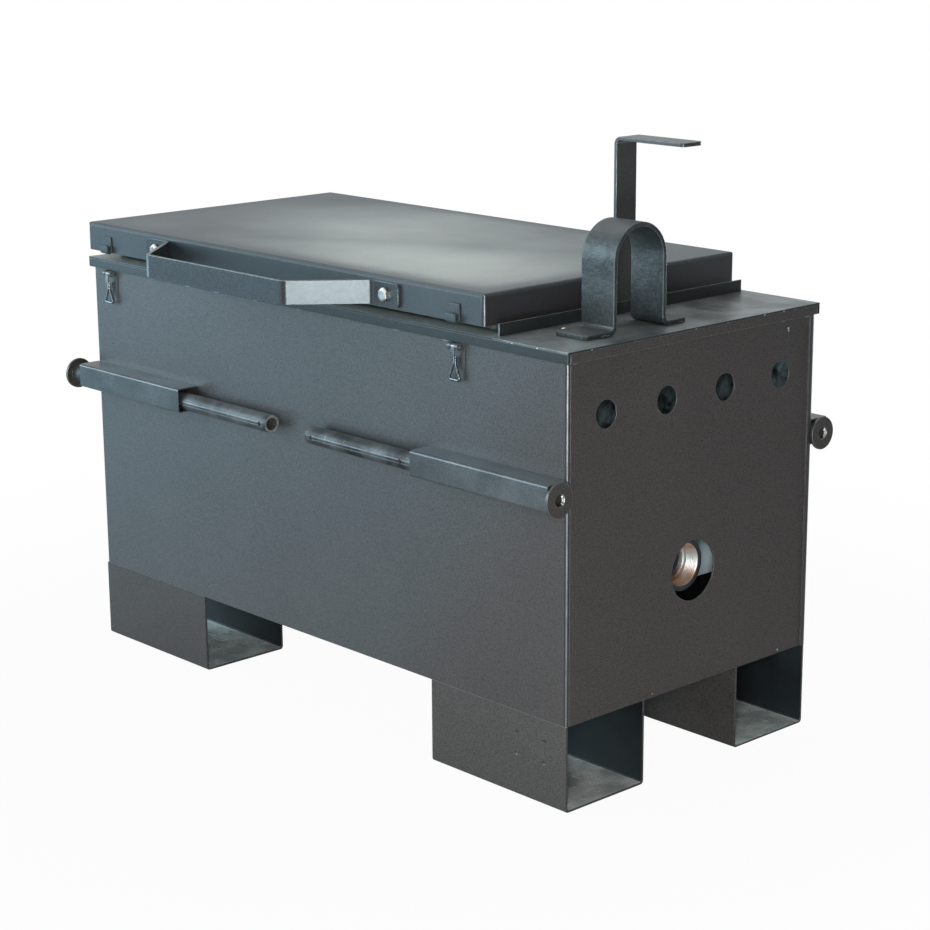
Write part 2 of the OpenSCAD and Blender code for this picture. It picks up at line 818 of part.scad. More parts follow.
centred() front_panel();
centred() rear_panel();
centred() left_end_panel();
centred() right_end_panel();
centred() floor_panel();
centred() bulkhead();
centred() rim_front();
centred() rim_rear();
centred() rim_left();
centred() rim_right();
centred() top_ledge();
centred() end_deck();
centred() foot_front_left();
centred() foot_front_right();
centred() foot_rear_left();
centred() foot_rear_right();
centred() floor_lining();
centred() front_lining();
centred() rear_lining();
centred() left_lining();
centred() right_lining();
centred() lid_seal();
centred() lid_shell();
centred() lid_lining();
centred() lid_handle();
centred() handle_bolts();
centred() handle_nuts();
centred() keeper_left();
centred() keeper_right();
centred() hinge_body_leaves();
centred() hinge_lid_leaves();
centred() hinge_pins();
centred() latch_base_left();
centred() latch_base_right();
centred() latch_tongue_left();
centred() latch_tongue_right();
centred() latch_bail_left();
centred() latch_bail_right();
centred() latch_pins();
centred() latch_rivets();
centred() channel_front_left();
centred() channel_front_right();
centred() channel_rear_left();
centred() channel_rear_right();
centred() rod_front_left();
centred() rod_front_right();
centred() rod_rear_left();
centred() rod_rear_right();
centred() disc_front_left();
centred() disc_front_right();
centred() disc_rear_left();
centred() disc_rear_right();
centred() hose_arch();
centred() hose_hook();
centred() burner_socket();
centred() burner_tube();
centred() burner_bracket();
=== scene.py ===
# %% [markdown]
# # Dressing a portable box forge
# The solid model gives every piece its size and place. This lesson adds what steel sheet looks like
# after it has been folded, welded, powder coated and carried about: small radii on each edge, weld
# tacks, wear, grain and dust. The frame is loaded first. Nothing below may grow past it. The noise
# that roughens the welds gets a seed, so that every run is the same.

# %% Load the frame
import math
import bmesh
import bpy
from mathutils import Matrix, Vector
from mathutils import noise as field


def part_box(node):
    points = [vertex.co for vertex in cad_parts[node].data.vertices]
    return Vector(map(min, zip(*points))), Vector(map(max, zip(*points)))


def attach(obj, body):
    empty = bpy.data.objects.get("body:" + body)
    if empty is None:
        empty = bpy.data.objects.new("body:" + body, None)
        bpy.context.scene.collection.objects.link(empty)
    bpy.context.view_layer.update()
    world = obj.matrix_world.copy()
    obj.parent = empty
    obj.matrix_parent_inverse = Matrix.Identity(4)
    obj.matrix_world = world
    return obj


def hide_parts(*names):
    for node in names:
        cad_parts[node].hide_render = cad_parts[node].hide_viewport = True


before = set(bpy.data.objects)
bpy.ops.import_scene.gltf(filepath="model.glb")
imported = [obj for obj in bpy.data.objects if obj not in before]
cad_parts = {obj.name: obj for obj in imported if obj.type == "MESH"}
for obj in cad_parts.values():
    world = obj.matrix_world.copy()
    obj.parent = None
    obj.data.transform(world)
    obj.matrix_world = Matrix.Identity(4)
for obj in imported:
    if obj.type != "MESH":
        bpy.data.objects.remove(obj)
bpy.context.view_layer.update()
MM = 0.001
NOISE_SEED = 3
field.seed_set(NOISE_SEED)

# %% [markdown]
# ## The camera
# The photographer stood off the front right corner with a long lens, a little above the lid. The
# place, the lens and the small shift of the frame were worked out from the straight edges of the
# box, so they are plain numbers here.

# %% Camera
CAMERA_AT = Vector((1.9228, -1.6999, 0.9175))
CAMERA_YAW, CAMERA_PITCH, CAMERA_ROLL = (math.radians(a) for a in (46.427, 14.503, -0.157))
SENSOR_MM, LENS_MM = 36, 88.95
SHIFT_X, SHIFT_Y = -0.0322, 0.0040

bpy.ops.object.select_all(action="DESELECT")
bpy.ops.object.camera_add()
camera = bpy.context.object
camera.name = "camera"
camera.matrix_world = (Matrix.Translation(CAMERA_AT)
                       @ Matrix.Rotation(CAMERA_YAW, 4, "Z")
                       @ Matrix.Rotation(math.pi / 2 - CAMERA_PITCH, 4, "X")
                       @ Matrix.Rotation(CAMERA_ROLL, 4, "Z"))
camera.data.sensor_width = SENSOR_MM
camera.data.lens = LENS_MM
camera.data.shift_x = SHIFT_X
camera.data.shift_y = SHIFT_Y
bpy.context.scene.camera = camera
print("camera", round(CAMERA_AT.length, 3), "m from the origin")

# %% [markdown]
# ## Helpers for node trees
# A node tree can be built by dragging in the editor or by code. Here each call makes one node and
# takes its inputs as numbers, colours or sockets of other nodes, so a tree reads from top to bottom
# like a recipe.


# %% Node helpers
def feed(tree, socket, value):
    """Set an input to a number or colour, or link it to another node's output."""
    if isinstance(value, bpy.types.NodeSocket):
        tree.links.new(value, socket)
    elif socket.type == "RGBA" and len(value) == 3:
        socket.default_value = (*value, 1)
    else:
        socket.default_value = value


def node(tree, kind, settings=None, **inputs):
    """One shader node with its settings and inputs; an underscore stands for a space in a name."""
    made = tree.nodes.new("ShaderNode" + kind)
    for name, value in (settings or {}).items():
        setattr(made, name, value)
    for name, value in inputs.items():
        feed(tree, made.inputs[name.replace("_", " ")], value)
    return made


def sums(tree, operation, *values, clamp=False):
    """One step of arithmetic on values or sockets."""
    made = node(tree, "Math", {"operation": operation, "use_clamp": clamp})
    for socket, value in zip(made.inputs, values):
        feed(tree, socket, value)
    return made.outputs[0]


def blended(tree, factor, a, b, how="MIX"):
    """Two colours mixed by a factor."""
    made = node(tree, "Mix", {"data_type": "RGBA", "blend_type": how})
    for index, value in ((0, factor), (6, a), (7, b)):
        feed(tree, made.inputs[index], value)
    return made.outputs[2]


def stepped(tree, value, low, high, to_low=0.0, to_high=1.0):
    """A value carried smoothly from one range to another."""
    made = node(tree, "MapRange", {"interpolation_type": "SMOOTHSTEP"}, Value=value,
                From_Min=low, From_Max=high, To_Min=to_low, To_Max=to_high)
    return made.outputs["Result"]


def noise(tree, where, scale, detail=2.0, rough=0.5):
    """Cloudy noise between 0 and 1."""
    made = node(tree, "TexNoise", Vector=where, Scale=scale, Detail=detail, Roughness=rough)
    return made.outputs["Fac"]


def place_of(tree, at):
    """The X, Y and Z of a point, as three sockets."""
    return node(tree, "SeparateXYZ", Vector=at).outputs


def new_group(name, inputs, outputs):
    """A shader node group with float inputs and outputs, and its two end nodes."""
    tree = bpy.data.node_groups.new(name, "ShaderNodeTree")
    for label, value in inputs.items():
        made = tree.interface.new_socket(label, in_out="INPUT", socket_type="NodeSocketFloat")
        made.default_value = value
    for label in outputs:
        tree.interface.new_socket(label, in_out="OUTPUT", socket_type="NodeSocketFloat")
    given = tree.nodes.new("NodeGroupInput").outputs
    return tree, given, tree.nodes.new("NodeGroupOutput").inputs


def placed(tree, group, **values):
    """A group put into a material with its own values; gives back its outputs."""
    made = tree.nodes.new("ShaderNodeGroup")
    made.node_tree = group
    for name, value in values.items():
        feed(tree, made.inputs[name.replace("_", " ")], value)
    return made.outputs


def new_material(name):
    """An empty material: its tree, its Principled BSDF and its Object coordinates."""
    material = bpy.data.materials.new(name + "_finish")
    material.use_nodes = True
    tree = material.node_tree
    return material, tree, tree.nodes["Principled BSDF"], node(tree, "TexCoord").outputs["Object"]


def bumped(tree, shader, strength, distance, height, **under):
    """Relief on a shader, laid over another relief where one is given."""
    bump = node(tree, "Bump", Strength=strength, Distance=distance, Height=height, **under)
    feed(tree, shader.inputs["Normal"], bump.outputs["Normal"])


print("helpers ready")

# %% [markdown]
# ## Shared effects
# Powder coat has a fine grain with slow clouds of tone. Paint wears bright on edges, and the thin
# bright line along a fold's crown is that wear with a painted highlight; dust settles on what faces
# up, and bar stock has short scratches. Each is one group, so every coated piece shares the same
# recipe with its own values. Wear with its painted highlight, and dust, read two attributes that
# each piece's mesh carries, `edge` and `up`.

# %% Groups: grain, wear, dust and scratches
grain, given, out = new_group("powder_grain", {"Grain": 650.0, "Cloud": 3.0},
                              ["Tone", "Speck", "Height"])
where = node(grain, "TexCoord").outputs["Object"]
speck = noise(grain, where, given["Grain"], 2.0, 0.6)
fine = noise(grain, where, sums(grain, "MULTIPLY", given["Grain"], 2.6), 1.0)
clouds = noise(grain, where, given["Cloud"], 4.0, 0.55)
feed(grain, out["Tone"], stepped(grain, clouds, 0.3, 0.7))
feed(grain, out["Speck"], stepped(grain, speck, 0.2, 0.8))
feed(grain, out["Height"], sums(grain, "MULTIPLY_ADD", fine, 0.5, speck))


def patchy_group(name, attribute, scale, detail, low, high):
    """A group that masks by a mesh attribute, broken up by noise into patches."""
    tree, given, out = new_group(name, {"Amount": 0.5, "Scale": scale}, ["Mask"])
    where = node(tree, "TexCoord").outputs["Object"]
    value = node(tree, "Attribute", {"attribute_name": attribute}).outputs["Fac"]
    patches = stepped(tree, noise(tree, where, given["Scale"], detail, 0.65), low, high, 0.35, 1.0)
    amount = sums(tree, "MULTIPLY", value, given["Amount"])
    feed(tree, out["Mask"], sums(tree, "MULTIPLY", amount, patches, clamp=True))
    return tree


# Wear on edges; along a fold's crown it also carries a painted highlight.
wear_and_highlight = patchy_group("edge_wear_and_highlight", "edge", 45.0, 5.0, 0.25, 0.7)
dust = patchy_group("settled_dust", "up", 14.0, 6.0, 0.2, 0.8)

scratch, given, out = new_group("fine_scratches", {"Scale": 1.0, "Amount": 0.3}, ["Mask"])
where = node(scratch, "TexCoord").outputs["Object"]
marks = None
for turn, stretch in ((0.5, (260.0, 18.0, 60.0)), (-0.7, (22.0, 240.0, 80.0))):
    turned = node(scratch, "Mapping", Vector=where, Rotation=(turn, 0.3 * turn, turn),
                  Scale=stretch).outputs[0]
    line = stepped(scratch, noise(scratch, turned, given["Scale"], 3.0, 0.7), 0.64, 0.74)
    marks = line if marks is None else sums(scratch, "MAXIMUM", marks, line)
feed(scratch, out["Mask"], sums(scratch, "MULTIPLY", marks, given["Amount"]))
print("groups", [g.name for g in bpy.data.node_groups])

# %% [markdown]
# ## Coats of paint
# All coated pieces share one recipe: two close tones mixed by slow clouds, a speckle, scratches to
# a lighter grey, bare steel on rubbed edges and pale dust on top. Only the numbers differ between
# body, feet and bars. A coat may also carry painted light and shade along one axis, and a painted
# warm reflection low down on the right.

# %% Coat recipe
BARE_STEEL = (0.40, 0.43, 0.45)
DUST = (0.62, 0.66, 0.63)
SCRATCH_GAIN = 2.2
WORN_METAL = 0.9
SPECK_GLOSS = 0.10
DUST_GLOSS = 0.3
GRAIN_DEPTH, WAVE_DEPTH = 0.4 * MM, 1.5 * MM
# Where the painted warm reflection lies: low down on the right of a panel.
WARM_SLOPE, WARM_FROM, WARM_TO = -0.6, 0.02, 0.24


def coat(name, dark, light, wear_amount=0.5, dust_amount=0.1, scratch_amount=0.06, rough=0.32,
         relief=0.08, flake=0.35, grain_size=640.0, cloud=3.0, speckle=0.6, painted_light_fade=None, painted_warm_reflection=None):
    """A powder coat between two tones, with some metal flake in it.

    fade is an axis, two places on it in metres, and the strength of the tone at each: painted
    light and shade along that axis. warm is the tint that the lower right of a panel is
    multiplied by, a painted warm reflection.
    """
    material, tree, shader, at = new_material(name)
    grains = placed(tree, grain, Grain=grain_size, Cloud=cloud)
    # Wear, and along a fold's crown a painted highlight.
    worn_and_highlit = placed(tree, wear_and_highlight, Amount=wear_amount)["Mask"]
    dusty = placed(tree, dust, Amount=dust_amount)["Mask"]
    scored = placed(tree, scratch, Amount=scratch_amount)["Mask"]
    colour = blended(tree, grains["Tone"], dark, light)
    uneven = sums(tree, "MULTIPLY_ADD", grains["Speck"], speckle, 1 - speckle / 2)
    # Painted light and shade along one axis.
    if painted_light_fade:
        axis, *span = painted_light_fade
        uneven = sums(tree, "MULTIPLY", uneven, stepped(tree, place_of(tree, at)[axis], *span))
    colour = blended(tree, 1.0, colour, uneven, "MULTIPLY")
    # A painted warm reflection low down on the right.
    if painted_warm_reflection:
        place = place_of(tree, at)
        slanted = sums(tree, "MULTIPLY_ADD", place["Z"], WARM_SLOPE, place["X"])
        low_right = stepped(tree, slanted, WARM_FROM, WARM_TO)
        colour = blended(tree, low_right, colour, blended(tree, 1.0, colour, painted_warm_reflection, "MULTIPLY"))
    colour = blended(tree, scored, colour, tuple(SCRATCH_GAIN * c for c in light))
    colour = blended(tree, dusty, colour, DUST)
    feed(tree, shader.inputs["Base Color"], blended(tree, worn_and_highlit, colour, BARE_STEEL))
    clean = sums(tree, "SUBTRACT", flake, sums(tree, "MULTIPLY", dusty, flake))
    metallic = sums(tree, "MULTIPLY_ADD", worn_and_highlit, WORN_METAL - flake, clean, clamp=True)
    feed(tree, shader.inputs["Metallic"], metallic)
    gloss = sums(tree, "MULTIPLY_ADD", grains["Speck"], SPECK_GLOSS, rough - SPECK_GLOSS / 2)
    gloss = sums(tree, "MULTIPLY_ADD", dusty, DUST_GLOSS, gloss, clamp=True)
    feed(tree, shader.inputs["Roughness"], gloss)
    waves = node(tree, "Bump", Strength=2 * relief, Distance=WAVE_DEPTH, Height=grains["Tone"])
    bumped(tree, shader, relief, GRAIN_DEPTH, grains["Height"], Normal=waves.outputs["Normal"])
    return material


print("coat recipe ready")

# %% [markdown]
# ## The tones
# The body is a cool grey, with painted light that makes it a little lighter at the left and a
# painted warm reflection low down on the right. The burner end is darker and browner, which is
# painted shade, the feet are browner, a painted warm reflection, and the floors of the feet are
# scuffed pale, with painted light in them too. Such a box may well have one paint all over. Plain
# soft lamps did not give every step of this light and shade, though, so each piece has a tone of
# its own, and the coats carry a part of those steps.

# %% Coats
# Painted light: lighter at the left, with a painted warm reflection low down on the right.
BODY = coat("body_coat", (0.099, 0.103, 0.105), (0.113, 0.117, 0.119),
            painted_light_fade=("X", -0.4, 0.42, 1.13, 0.93), painted_warm_reflection=(0.95, 0.82, 0.78))
DECK = coat("deck_coat", (0.034, 0.042, 0.045), (0.206, 0.226, 0.225), dust_amount=0.12,
            scratch_amount=0.4, flake=0.15, cloud=26.0)
# Painted light: the rim's coat is lighter towards its left end.
RIM = coat("rim_coat", (0.036, 0.043, 0.045), (0.046, 0.054, 0.056), wear_amount=0.2,
           painted_light_fade=("X", -0.41, 0.15, 1.6, 1.0))
# Painted shade: the burner end's coat is darker and browner than the body's.
END = coat("end_coat", (0.071, 0.062, 0.060), (0.081, 0.071, 0.068), wear_amount=0.4, flake=0.1,
           speckle=0.9)
# Painted shade: near black towards the bottom, paler higher up.
INSIDE_SHADE = coat("inside_shade_coat", (0.002, 0.004, 0.005), (0.22, 0.31, 0.35), dust_amount=0.1,
              rough=0.6, flake=0.1, cloud=70.0, painted_light_fade=("Z", 0.20, 0.32, 0.05, 1.0))
# A painted warm reflection: the feet's coat is browner than the body's.
FOOT = coat("foot_coat", (0.080, 0.073, 0.069), (0.095, 0.086, 0.081), dust_amount=0.6, flake=0.2,
            speckle=0.8)
SHADED = coat("shaded_coat", (0.003, 0.006, 0.008), (0.020, 0.028, 0.032), dust_amount=0.1,
              rough=0.6, flake=0.1, cloud=9.0)
# The floors of the feet: pale scuffed dust with painted light in it; the paler copy is more painted
# light.
SCUFFED = {"scratch_amount": 0.9, "rough": 0.5, "flake": 0.1, "cloud": 30.0, "relief": 0.2}
TREAD = coat("tread_coat", (0.26, 0.29, 0.295), (0.92, 0.97, 0.96), dust_amount=0.5, **SCUFFED)
LIT_TREAD = coat("lit_tread_coat", (0.46, 0.56, 0.55), (0.90, 1.0, 0.98), dust_amount=0.0, **SCUFFED)
LIP = coat("lip_coat", (0.052, 0.064, 0.070), (0.060, 0.073, 0.079), wear_amount=0.0, rough=0.6,
           flake=0.05)
# Painted shade: the flanks of a fold beside its bright crown, and the lid's right end.
PAINTED_SHADE = coat("painted_shade_coat", (0.034, 0.033, 0.036), (0.040, 0.038, 0.042), wear_amount=0.0, rough=0.5,
            flake=0.05)
# Painted light: the ledge under the lid is pale, and its front strip is lighter still.
LEDGE = coat("ledge_coat", (0.112, 0.132, 0.134), (0.140, 0.160, 0.156), dust_amount=0.2,
             wear_amount=0.3, painted_light_fade=("Y", -0.150, -0.140, 2.6, 1.0))
HINGE = coat("hinge_coat", (0.062, 0.070, 0.075), (0.084, 0.094, 0.100))
CHANNEL = coat("channel_coat", (0.066, 0.076, 0.080), (0.124, 0.138, 0.143), dust_amount=0.05,
               wear_amount=0.12, cloud=18.0)
ROD = coat("rod_coat", (0.006, 0.008, 0.009), (0.098, 0.108, 0.111), wear_amount=0.6,
           scratch_amount=0.6, rough=0.5, cloud=40.0)
DISC = coat("disc_coat", (0.078, 0.070, 0.065), (0.110, 0.100, 0.093), wear_amount=0.9)
BAR = coat("bar_coat", (0.042, 0.052, 0.055), (0.064, 0.077, 0.081), wear_amount=0.3,
           scratch_amount=0.15, relief=0.2, rough=0.45, grain_size=420.0, cloud=40.0, speckle=0.5)
HOOK = coat("hook_coat", (0.070, 0.069, 0.070), (0.092, 0.090, 0.090), wear_amount=0.5)
GRIP = coat("grip_coat", (0.064, 0.072, 0.076), (0.074, 0.083, 0.087), wear_amount=1.0, rough=0.27,
            relief=0.015, flake=0.45, speckle=0.1)
print("coats", len(bpy.data.materials))

# %% [markdown]
# ## The lid's own coat
# The lid's top is painted pale, with two paler patches in its middle: painted sheen. It keeps the
# dull dark coat in a band along its edges. They could be bleached paint or sheen, and the photo
# doesn't settle it, so they are painted. The band is a mask of the distance to the lid's edges,
# broken up by noise, and the clouds between are fainter at the left. Together they steer both the
# tone and the gloss.

# %% Lid coat
LID_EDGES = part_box("lid_shell")
BAND_FROM, BAND_TO, BAND_DRIFT = 10 * MM, 55 * MM, 24 * MM
SHEEN_PATCHES = (((0.105, -0.080), (0.24, 0.15), 0.75), ((-0.09, 0.06), (0.25, 0.16), 0.55))
# The pale tone is painted sheen.
LID_DARK, LID_PALE, LID_SCRATCH = (0.056, 0.070, 0.077), (0.54, 0.565, 0.525), (0.4, 0.41, 0.41)


def edge_distance(tree, at, low, high):
    """How far a point is from the nearest of four edges, seen from above."""
    place = place_of(tree, at)
    near = [sums(tree, "MINIMUM", sums(tree, "SUBTRACT", place[axis], low[index]),
                 sums(tree, "SUBTRACT", high[index], place[axis]))
            for index, axis in enumerate("XY")]
    return sums(tree, "MINIMUM", *near)


LID, tree, shader, at = new_material("lid_coat")
grains = placed(tree, grain, Grain=650.0, Cloud=4.5)
# Wear, and along a fold's crown a painted highlight.
worn_and_highlit = placed(tree, wear_and_highlight, Amount=0.7)["Mask"]
scored = placed(tree, scratch, Amount=0.05)["Mask"]
sheen_patches = None
# Two patches of painted sheen in the middle of the lid.
for (x, y), (reach_x, reach_y), strength in SHEEN_PATCHES:
    near = node(tree, "Mapping", Vector=at, Location=(-x / reach_x, -y / reach_y, 0),
                Scale=(1 / reach_x, 1 / reach_y, 0)).outputs[0]
    away = node(tree, "VectorMath", {"operation": "LENGTH"}, Vector=near).outputs["Value"]
    patch = stepped(tree, away, 0.1, 1.25, strength, 0.0)
    sheen_patches = patch if sheen_patches is None else sums(tree, "MAXIMUM", sheen_patches, patch)
drifted = sums(tree, "MULTIPLY_ADD", noise(tree, at, 9.0, 4.0), BAND_DRIFT,
               edge_distance(tree, at, *LID_EDGES))
inside_band = stepped(tree, drifted, BAND_FROM, BAND_TO)
cloudiness = stepped(tree, place_of(tree, at)["X"], -0.40, -0.08, 0.06, 0.30)
clouds = sums(tree, "MULTIPLY_ADD", grains["Tone"], cloudiness, sheen_patches)
sheen_amount = sums(tree, "MULTIPLY", inside_band, clouds, clamp=True)
colour = blended(tree, sheen_amount, LID_DARK, LID_PALE)
uneven = sums(tree, "MULTIPLY_ADD", grains["Speck"], 0.34, 0.83)
colour = blended(tree, 1.0, colour, uneven, "MULTIPLY")
colour = blended(tree, scored, colour, LID_SCRATCH)
feed(tree, shader.inputs["Base Color"], blended(tree, worn_and_highlit, colour, BARE_STEEL))
feed(tree, shader.inputs["Metallic"], sums(tree, "MULTIPLY_ADD", worn_and_highlit, 0.6, 0.20))
feed(tree, shader.inputs["Roughness"], stepped(tree, sheen_amount, 0.0, 1.0, 0.38, 0.44))
bumped(tree, shader, 0.10, GRAIN_DEPTH, grains["Height"])
print("lid edges", [[round(c, 4) for c in corner] for corner in LID_EDGES])

# %% [markdown]
# ## Bare metals and lining
# Plated screws, spring wire and the pipe socket are bare metal with a varied gloss; the lining and
# its rope are matt mineral fibre. The socket's bore was turned on a lathe, so its gloss runs in
# fine rings along the bore. It is brown above and below its middle, partly the steel's own tint and
# partly a painted reflection.


# %% Metals and fibre
def metal(name, dark, light, rough, grain_size=300.0, relief=0.05, cloud=30.0, bare=1.0):
    """Bare or plated metal: two tones, a varied gloss and a faint grain."""
    material, tree, shader, _ = new_material(name)
    grains = placed(tree, grain, Grain=grain_size, Cloud=cloud)
    feed(tree, shader.inputs["Base Color"], blended(tree, grains["Tone"], dark, light))
    shader.inputs["Metallic"].default_value = bare
    gloss = sums(tree, "MULTIPLY_ADD", grains["Tone"], 0.14, rough - 0.07)
    feed(tree, shader.inputs["Roughness"], gloss)
    bumped(tree, shader, relief, 0.2 * MM, grains["Height"])
    return material


def mineral(name, dark, light, grain_size, relief):
    """Pale fibre: matt, felted and slightly stained."""
    material, tree, shader, _ = new_material(name)
    grains = placed(tree, grain, Grain=grain_size, Cloud=9.0)
    colour = blended(tree, grains["Tone"], dark, light)
    stain = sums(tree, "MULTIPLY", grains["Speck"], 0.3)
    feed(tree, shader.inputs["Base Color"], blended(tree, stain, colour, dark))
    gloss = sums(tree, "MULTIPLY_ADD", grains["Speck"], 0.1, 0.85)
    feed(tree, shader.inputs["Roughness"], gloss)
    bumped(tree, shader, relief, 1.2 * MM, grains["Height"])
    return material


ZINC = metal("zinc", (0.40, 0.39, 0.36), (0.68, 0.67, 0.63), 0.34)
WIRE = metal("bright_wire", (0.10, 0.12, 0.13), (0.36, 0.39, 0.41), 0.30)
TONGUE = metal("tongue_steel", (0.10, 0.12, 0.13), (0.30, 0.33, 0.35), 0.32, bare=0.7)
GALVANISED = metal("galvanised", (0.58, 0.75, 0.84), (0.80, 0.92, 0.97), 0.5, 90.0, bare=0.05)
BORE = metal("bore", (0.50, 0.50, 0.49), (0.88, 0.88, 0.86), 0.35, cloud=160.0)
TUBE_INSIDE = metal("tube_inside", (0.05, 0.052, 0.052), (0.16, 0.165, 0.16), 0.5, bare=0.3)
TUBE_END = metal("tube_end", (0.10, 0.11, 0.11), (0.34, 0.36, 0.36), 0.45, cloud=160.0, bare=0.3)
FIBRE = mineral("fibre", (0.60, 0.55, 0.46), (0.80, 0.77, 0.70), 260.0, 0.5)
ROPE = mineral("rope", (0.105, 0.122, 0.124), (0.165, 0.185, 0.182), 500.0, 0.5)

SOCKET_Z = 220
SOCKET, tree, shader, at = new_material("socket_steel")
height = place_of(tree, at)["Z"]
off_middle = sums(tree, "ABSOLUTE", sums(tree, "SUBTRACT", height, SOCKET_Z * MM))
# Brown above and below the middle, partly the steel's own tint and partly a painted reflection.
tint = sums(tree, "MULTIPLY", stepped(tree, off_middle, 5 * MM, 15 * MM),
            stepped(tree, noise(tree, at, 60.0), 0.2, 0.6))
turned = node(tree, "Mapping", Vector=at, Scale=(900.0, 12.0, 12.0)).outputs[0]
rings = noise(tree, turned, 1.0, 2.0)
feed(tree, shader.inputs["Base Color"], blended(tree, tint, (0.78, 0.77, 0.74), (0.62, 0.40, 0.28)))
shader.inputs["Metallic"].default_value = 0.8
feed(tree, shader.inputs["Roughness"], stepped(tree, rings, 0.2, 0.8, 0.40, 0.55))
bumped(tree, shader, 0.15, 0.1 * MM, rings)
print("materials", len(bpy.data.materials))

# %% [markdown]
# ## Softening the folded sheet
# No sheet or bar leaves a workshop with knife edges: shears, brakes and files leave a radius of
# half a millimetre or more, and that radius is what catches the light. A copy of each solid is
# merged, its flat faces are joined, and its sharp edges are bevelled. The new faces are marked in
# the `edge` attribute, and every face that looks up in `up`.

# %% Soft edges
MERGE = 0.02 * MM
FLAT, SHARP, SMOOTH = (math.radians(a) for a in (0.5, 32, 50))
SQUARE = 0.995
FOLD_STRIP = 4 * MM
CROWN = 0.3


def only(piece):
    """Select one piece and nothing else, in object mode."""
    if bpy.context.mode != "OBJECT":
        bpy.ops.object.mode_set(mode="OBJECT")
    bpy.ops.object.select_all(action="DESELECT")
    piece.select_set(True)
    bpy.context.view_layer.objects.active = piece
    return piece


def joined(pieces, name):
    """Several pieces made into one under a name."""
    only(pieces[0])
    for piece in pieces:
        piece.select_set(True)
    bpy.ops.object.join()
    pieces[0].name = name
    return pieces[0]


def narrow(mesh, face, width):
    """Whether a face is a strip no wider than a bevel's."""
    ends = ((mesh.vertices[a].co, mesh.vertices[b].co) for a, b in face.edge_keys)
    return face.area < width * max((a - b).length for a, b in ends)


def mark(piece, width, crown_wear_and_highlight=0.0, share=1.0):
    """Write the edge and up attributes.

    Bevel strips have full wear, and the crown of an upright fold, halfway round it, has
    crown_wear_and_highlight:
    wear with a painted highlight, the thin bright line along the fold.
    Both are less on faces that look up or down.
    """
    mesh = piece.data
    for name in ("edge", "up"):
        if name not in mesh.attributes:
            mesh.attributes.new(name, "FLOAT", "FACE")
    for face in mesh.polygons:
        x, y, z = (abs(c) for c in face.normal)
        value = 0.0
        if max(x, y, z) <= SQUARE:
            if narrow(mesh, face, width):
                value = 1.0
            elif abs(x - y) <= CROWN and narrow(mesh, face, FOLD_STRIP):
                value = crown_wear_and_highlight
        mesh.attributes["edge"].data[face.index].value = value * share * max(0.1, 1 - 1.3 * z)
        mesh.attributes["up"].data[face.index].value = max(0.0, face.normal.z)


def weighted(piece):
    """Flat faces stay flat to the light, and the bevels carry the turn."""
    only(piece)
    bpy.ops.object.shade_smooth_by_angle(angle=SMOOTH)
    bpy.ops.object.modifier_add(type="WEIGHTED_NORMAL")
    piece.modifiers[-1].keep_sharp = True
    bpy.ops.object.modifier_apply(modifier=piece.modifiers[-1].name)


def softened(name, material, width=0.5, crown_wear_and_highlight=0.0, body="frame", share=1.0):
    """A finished copy of a CAD node, with its edges rounded by a width in millimetres."""
    piece = bpy.data.objects.new(name + "_finish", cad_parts[name].data.copy())
    bpy.context.scene.collection.objects.link(piece)
    only(piece)
    if piece.data.has_custom_normals:
        bpy.ops.mesh.customdata_custom_splitnormals_clear()
    bpy.ops.object.mode_set(mode="EDIT")
    bpy.ops.mesh.select_mode(type="EDGE")
    bpy.ops.mesh.select_all(action="SELECT")
    bpy.ops.mesh.remove_doubles(threshold=MERGE)
    bpy.ops.mesh.dissolve_limited(angle_limit=FLAT)
    bpy.ops.mesh.select_all(action="DESELECT")
    bpy.ops.mesh.edges_select_sharp(sharpness=SHARP)
    if width:
        bpy.ops.mesh.bevel(offset=width * MM, segments=2, affect="EDGES", clamp_overlap=True)
    bpy.ops.object.mode_set(mode="OBJECT")
    mark(piece, 0.9 * width * MM, crown_wear_and_highlight, share)
    weighted(piece)
    piece.data.materials.clear()
    piece.data.materials.append(material)
    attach(piece, body)
    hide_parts(name)
    return piece


print("soft edges ready")

# %% [markdown]
# ## Sheet pieces
# Most pieces have one coat. A test on each face's normal picks the faces that get another: painted
# shade on the inside of the rear panel, in the hollows of the feet, on the right-facing sides of
# the deck and the lid, and on the strips on both sides of a fold's crown, which leaves only a thin
# line of wear and painted highlight bright there; and pale floors in the feet, with painted light
# in them.

# %% Panels, rim, feet and lid
TOWARDS = 0.9
LINED_REACH = 3 * MM
WALL_AREA, LAP_AREA, LAP_X, LAP_WEAR_AND_HIGHLIGHT = 0.05, 0.002, 0.4, 0.8
FLOOR_Z = 50 * MM
ENDS = ("front_left", "front_right", "rear_left", "rear_right")


def faced(piece, material, test):
    """Give the faces that pass a test a material of their own."""
    piece.data.materials.append(material)
    for face in piece.data.polygons:
        if test(face):
            face.material_index = len(piece.data.materials) - 1


def lined(piece, material):
    """Give the faces that look at the middle of a hollow piece a material of their own."""
    places = list(zip(*(point.co for point in piece.data.vertices)))
    middle = (Vector(map(min, places)) + Vector(map(max, places))) / 2
    faced(piece, material, lambda face: face.normal.dot(middle - face.center) > LINED_REACH)


def rubbed(piece, test, amount):
    """Set the wear of the faces that pass a test."""
    for face in piece.data.polygons:
        if test(face):
            piece.data.attributes["edge"].data[face.index].value = amount


def beside_crown(face, near=-CROWN):
    """Whether a face is in an upright fold on the right, but not on the bright line of its crown.
    """
    x, y, z = face.normal
    return abs(z) < 0.3 and 0.1 < x < 0.99 and not near < x + y < CROWN


def lap(face):
    """Whether a face is the cut edge of the rear panel, where it laps round the right end."""
    return face.normal.y < -TOWARDS and face.area < LAP_AREA and face.center.x > LAP_X


for name in ("left_end_panel", "floor_panel"):
    softened(name, BODY, 0.5, 1.0)
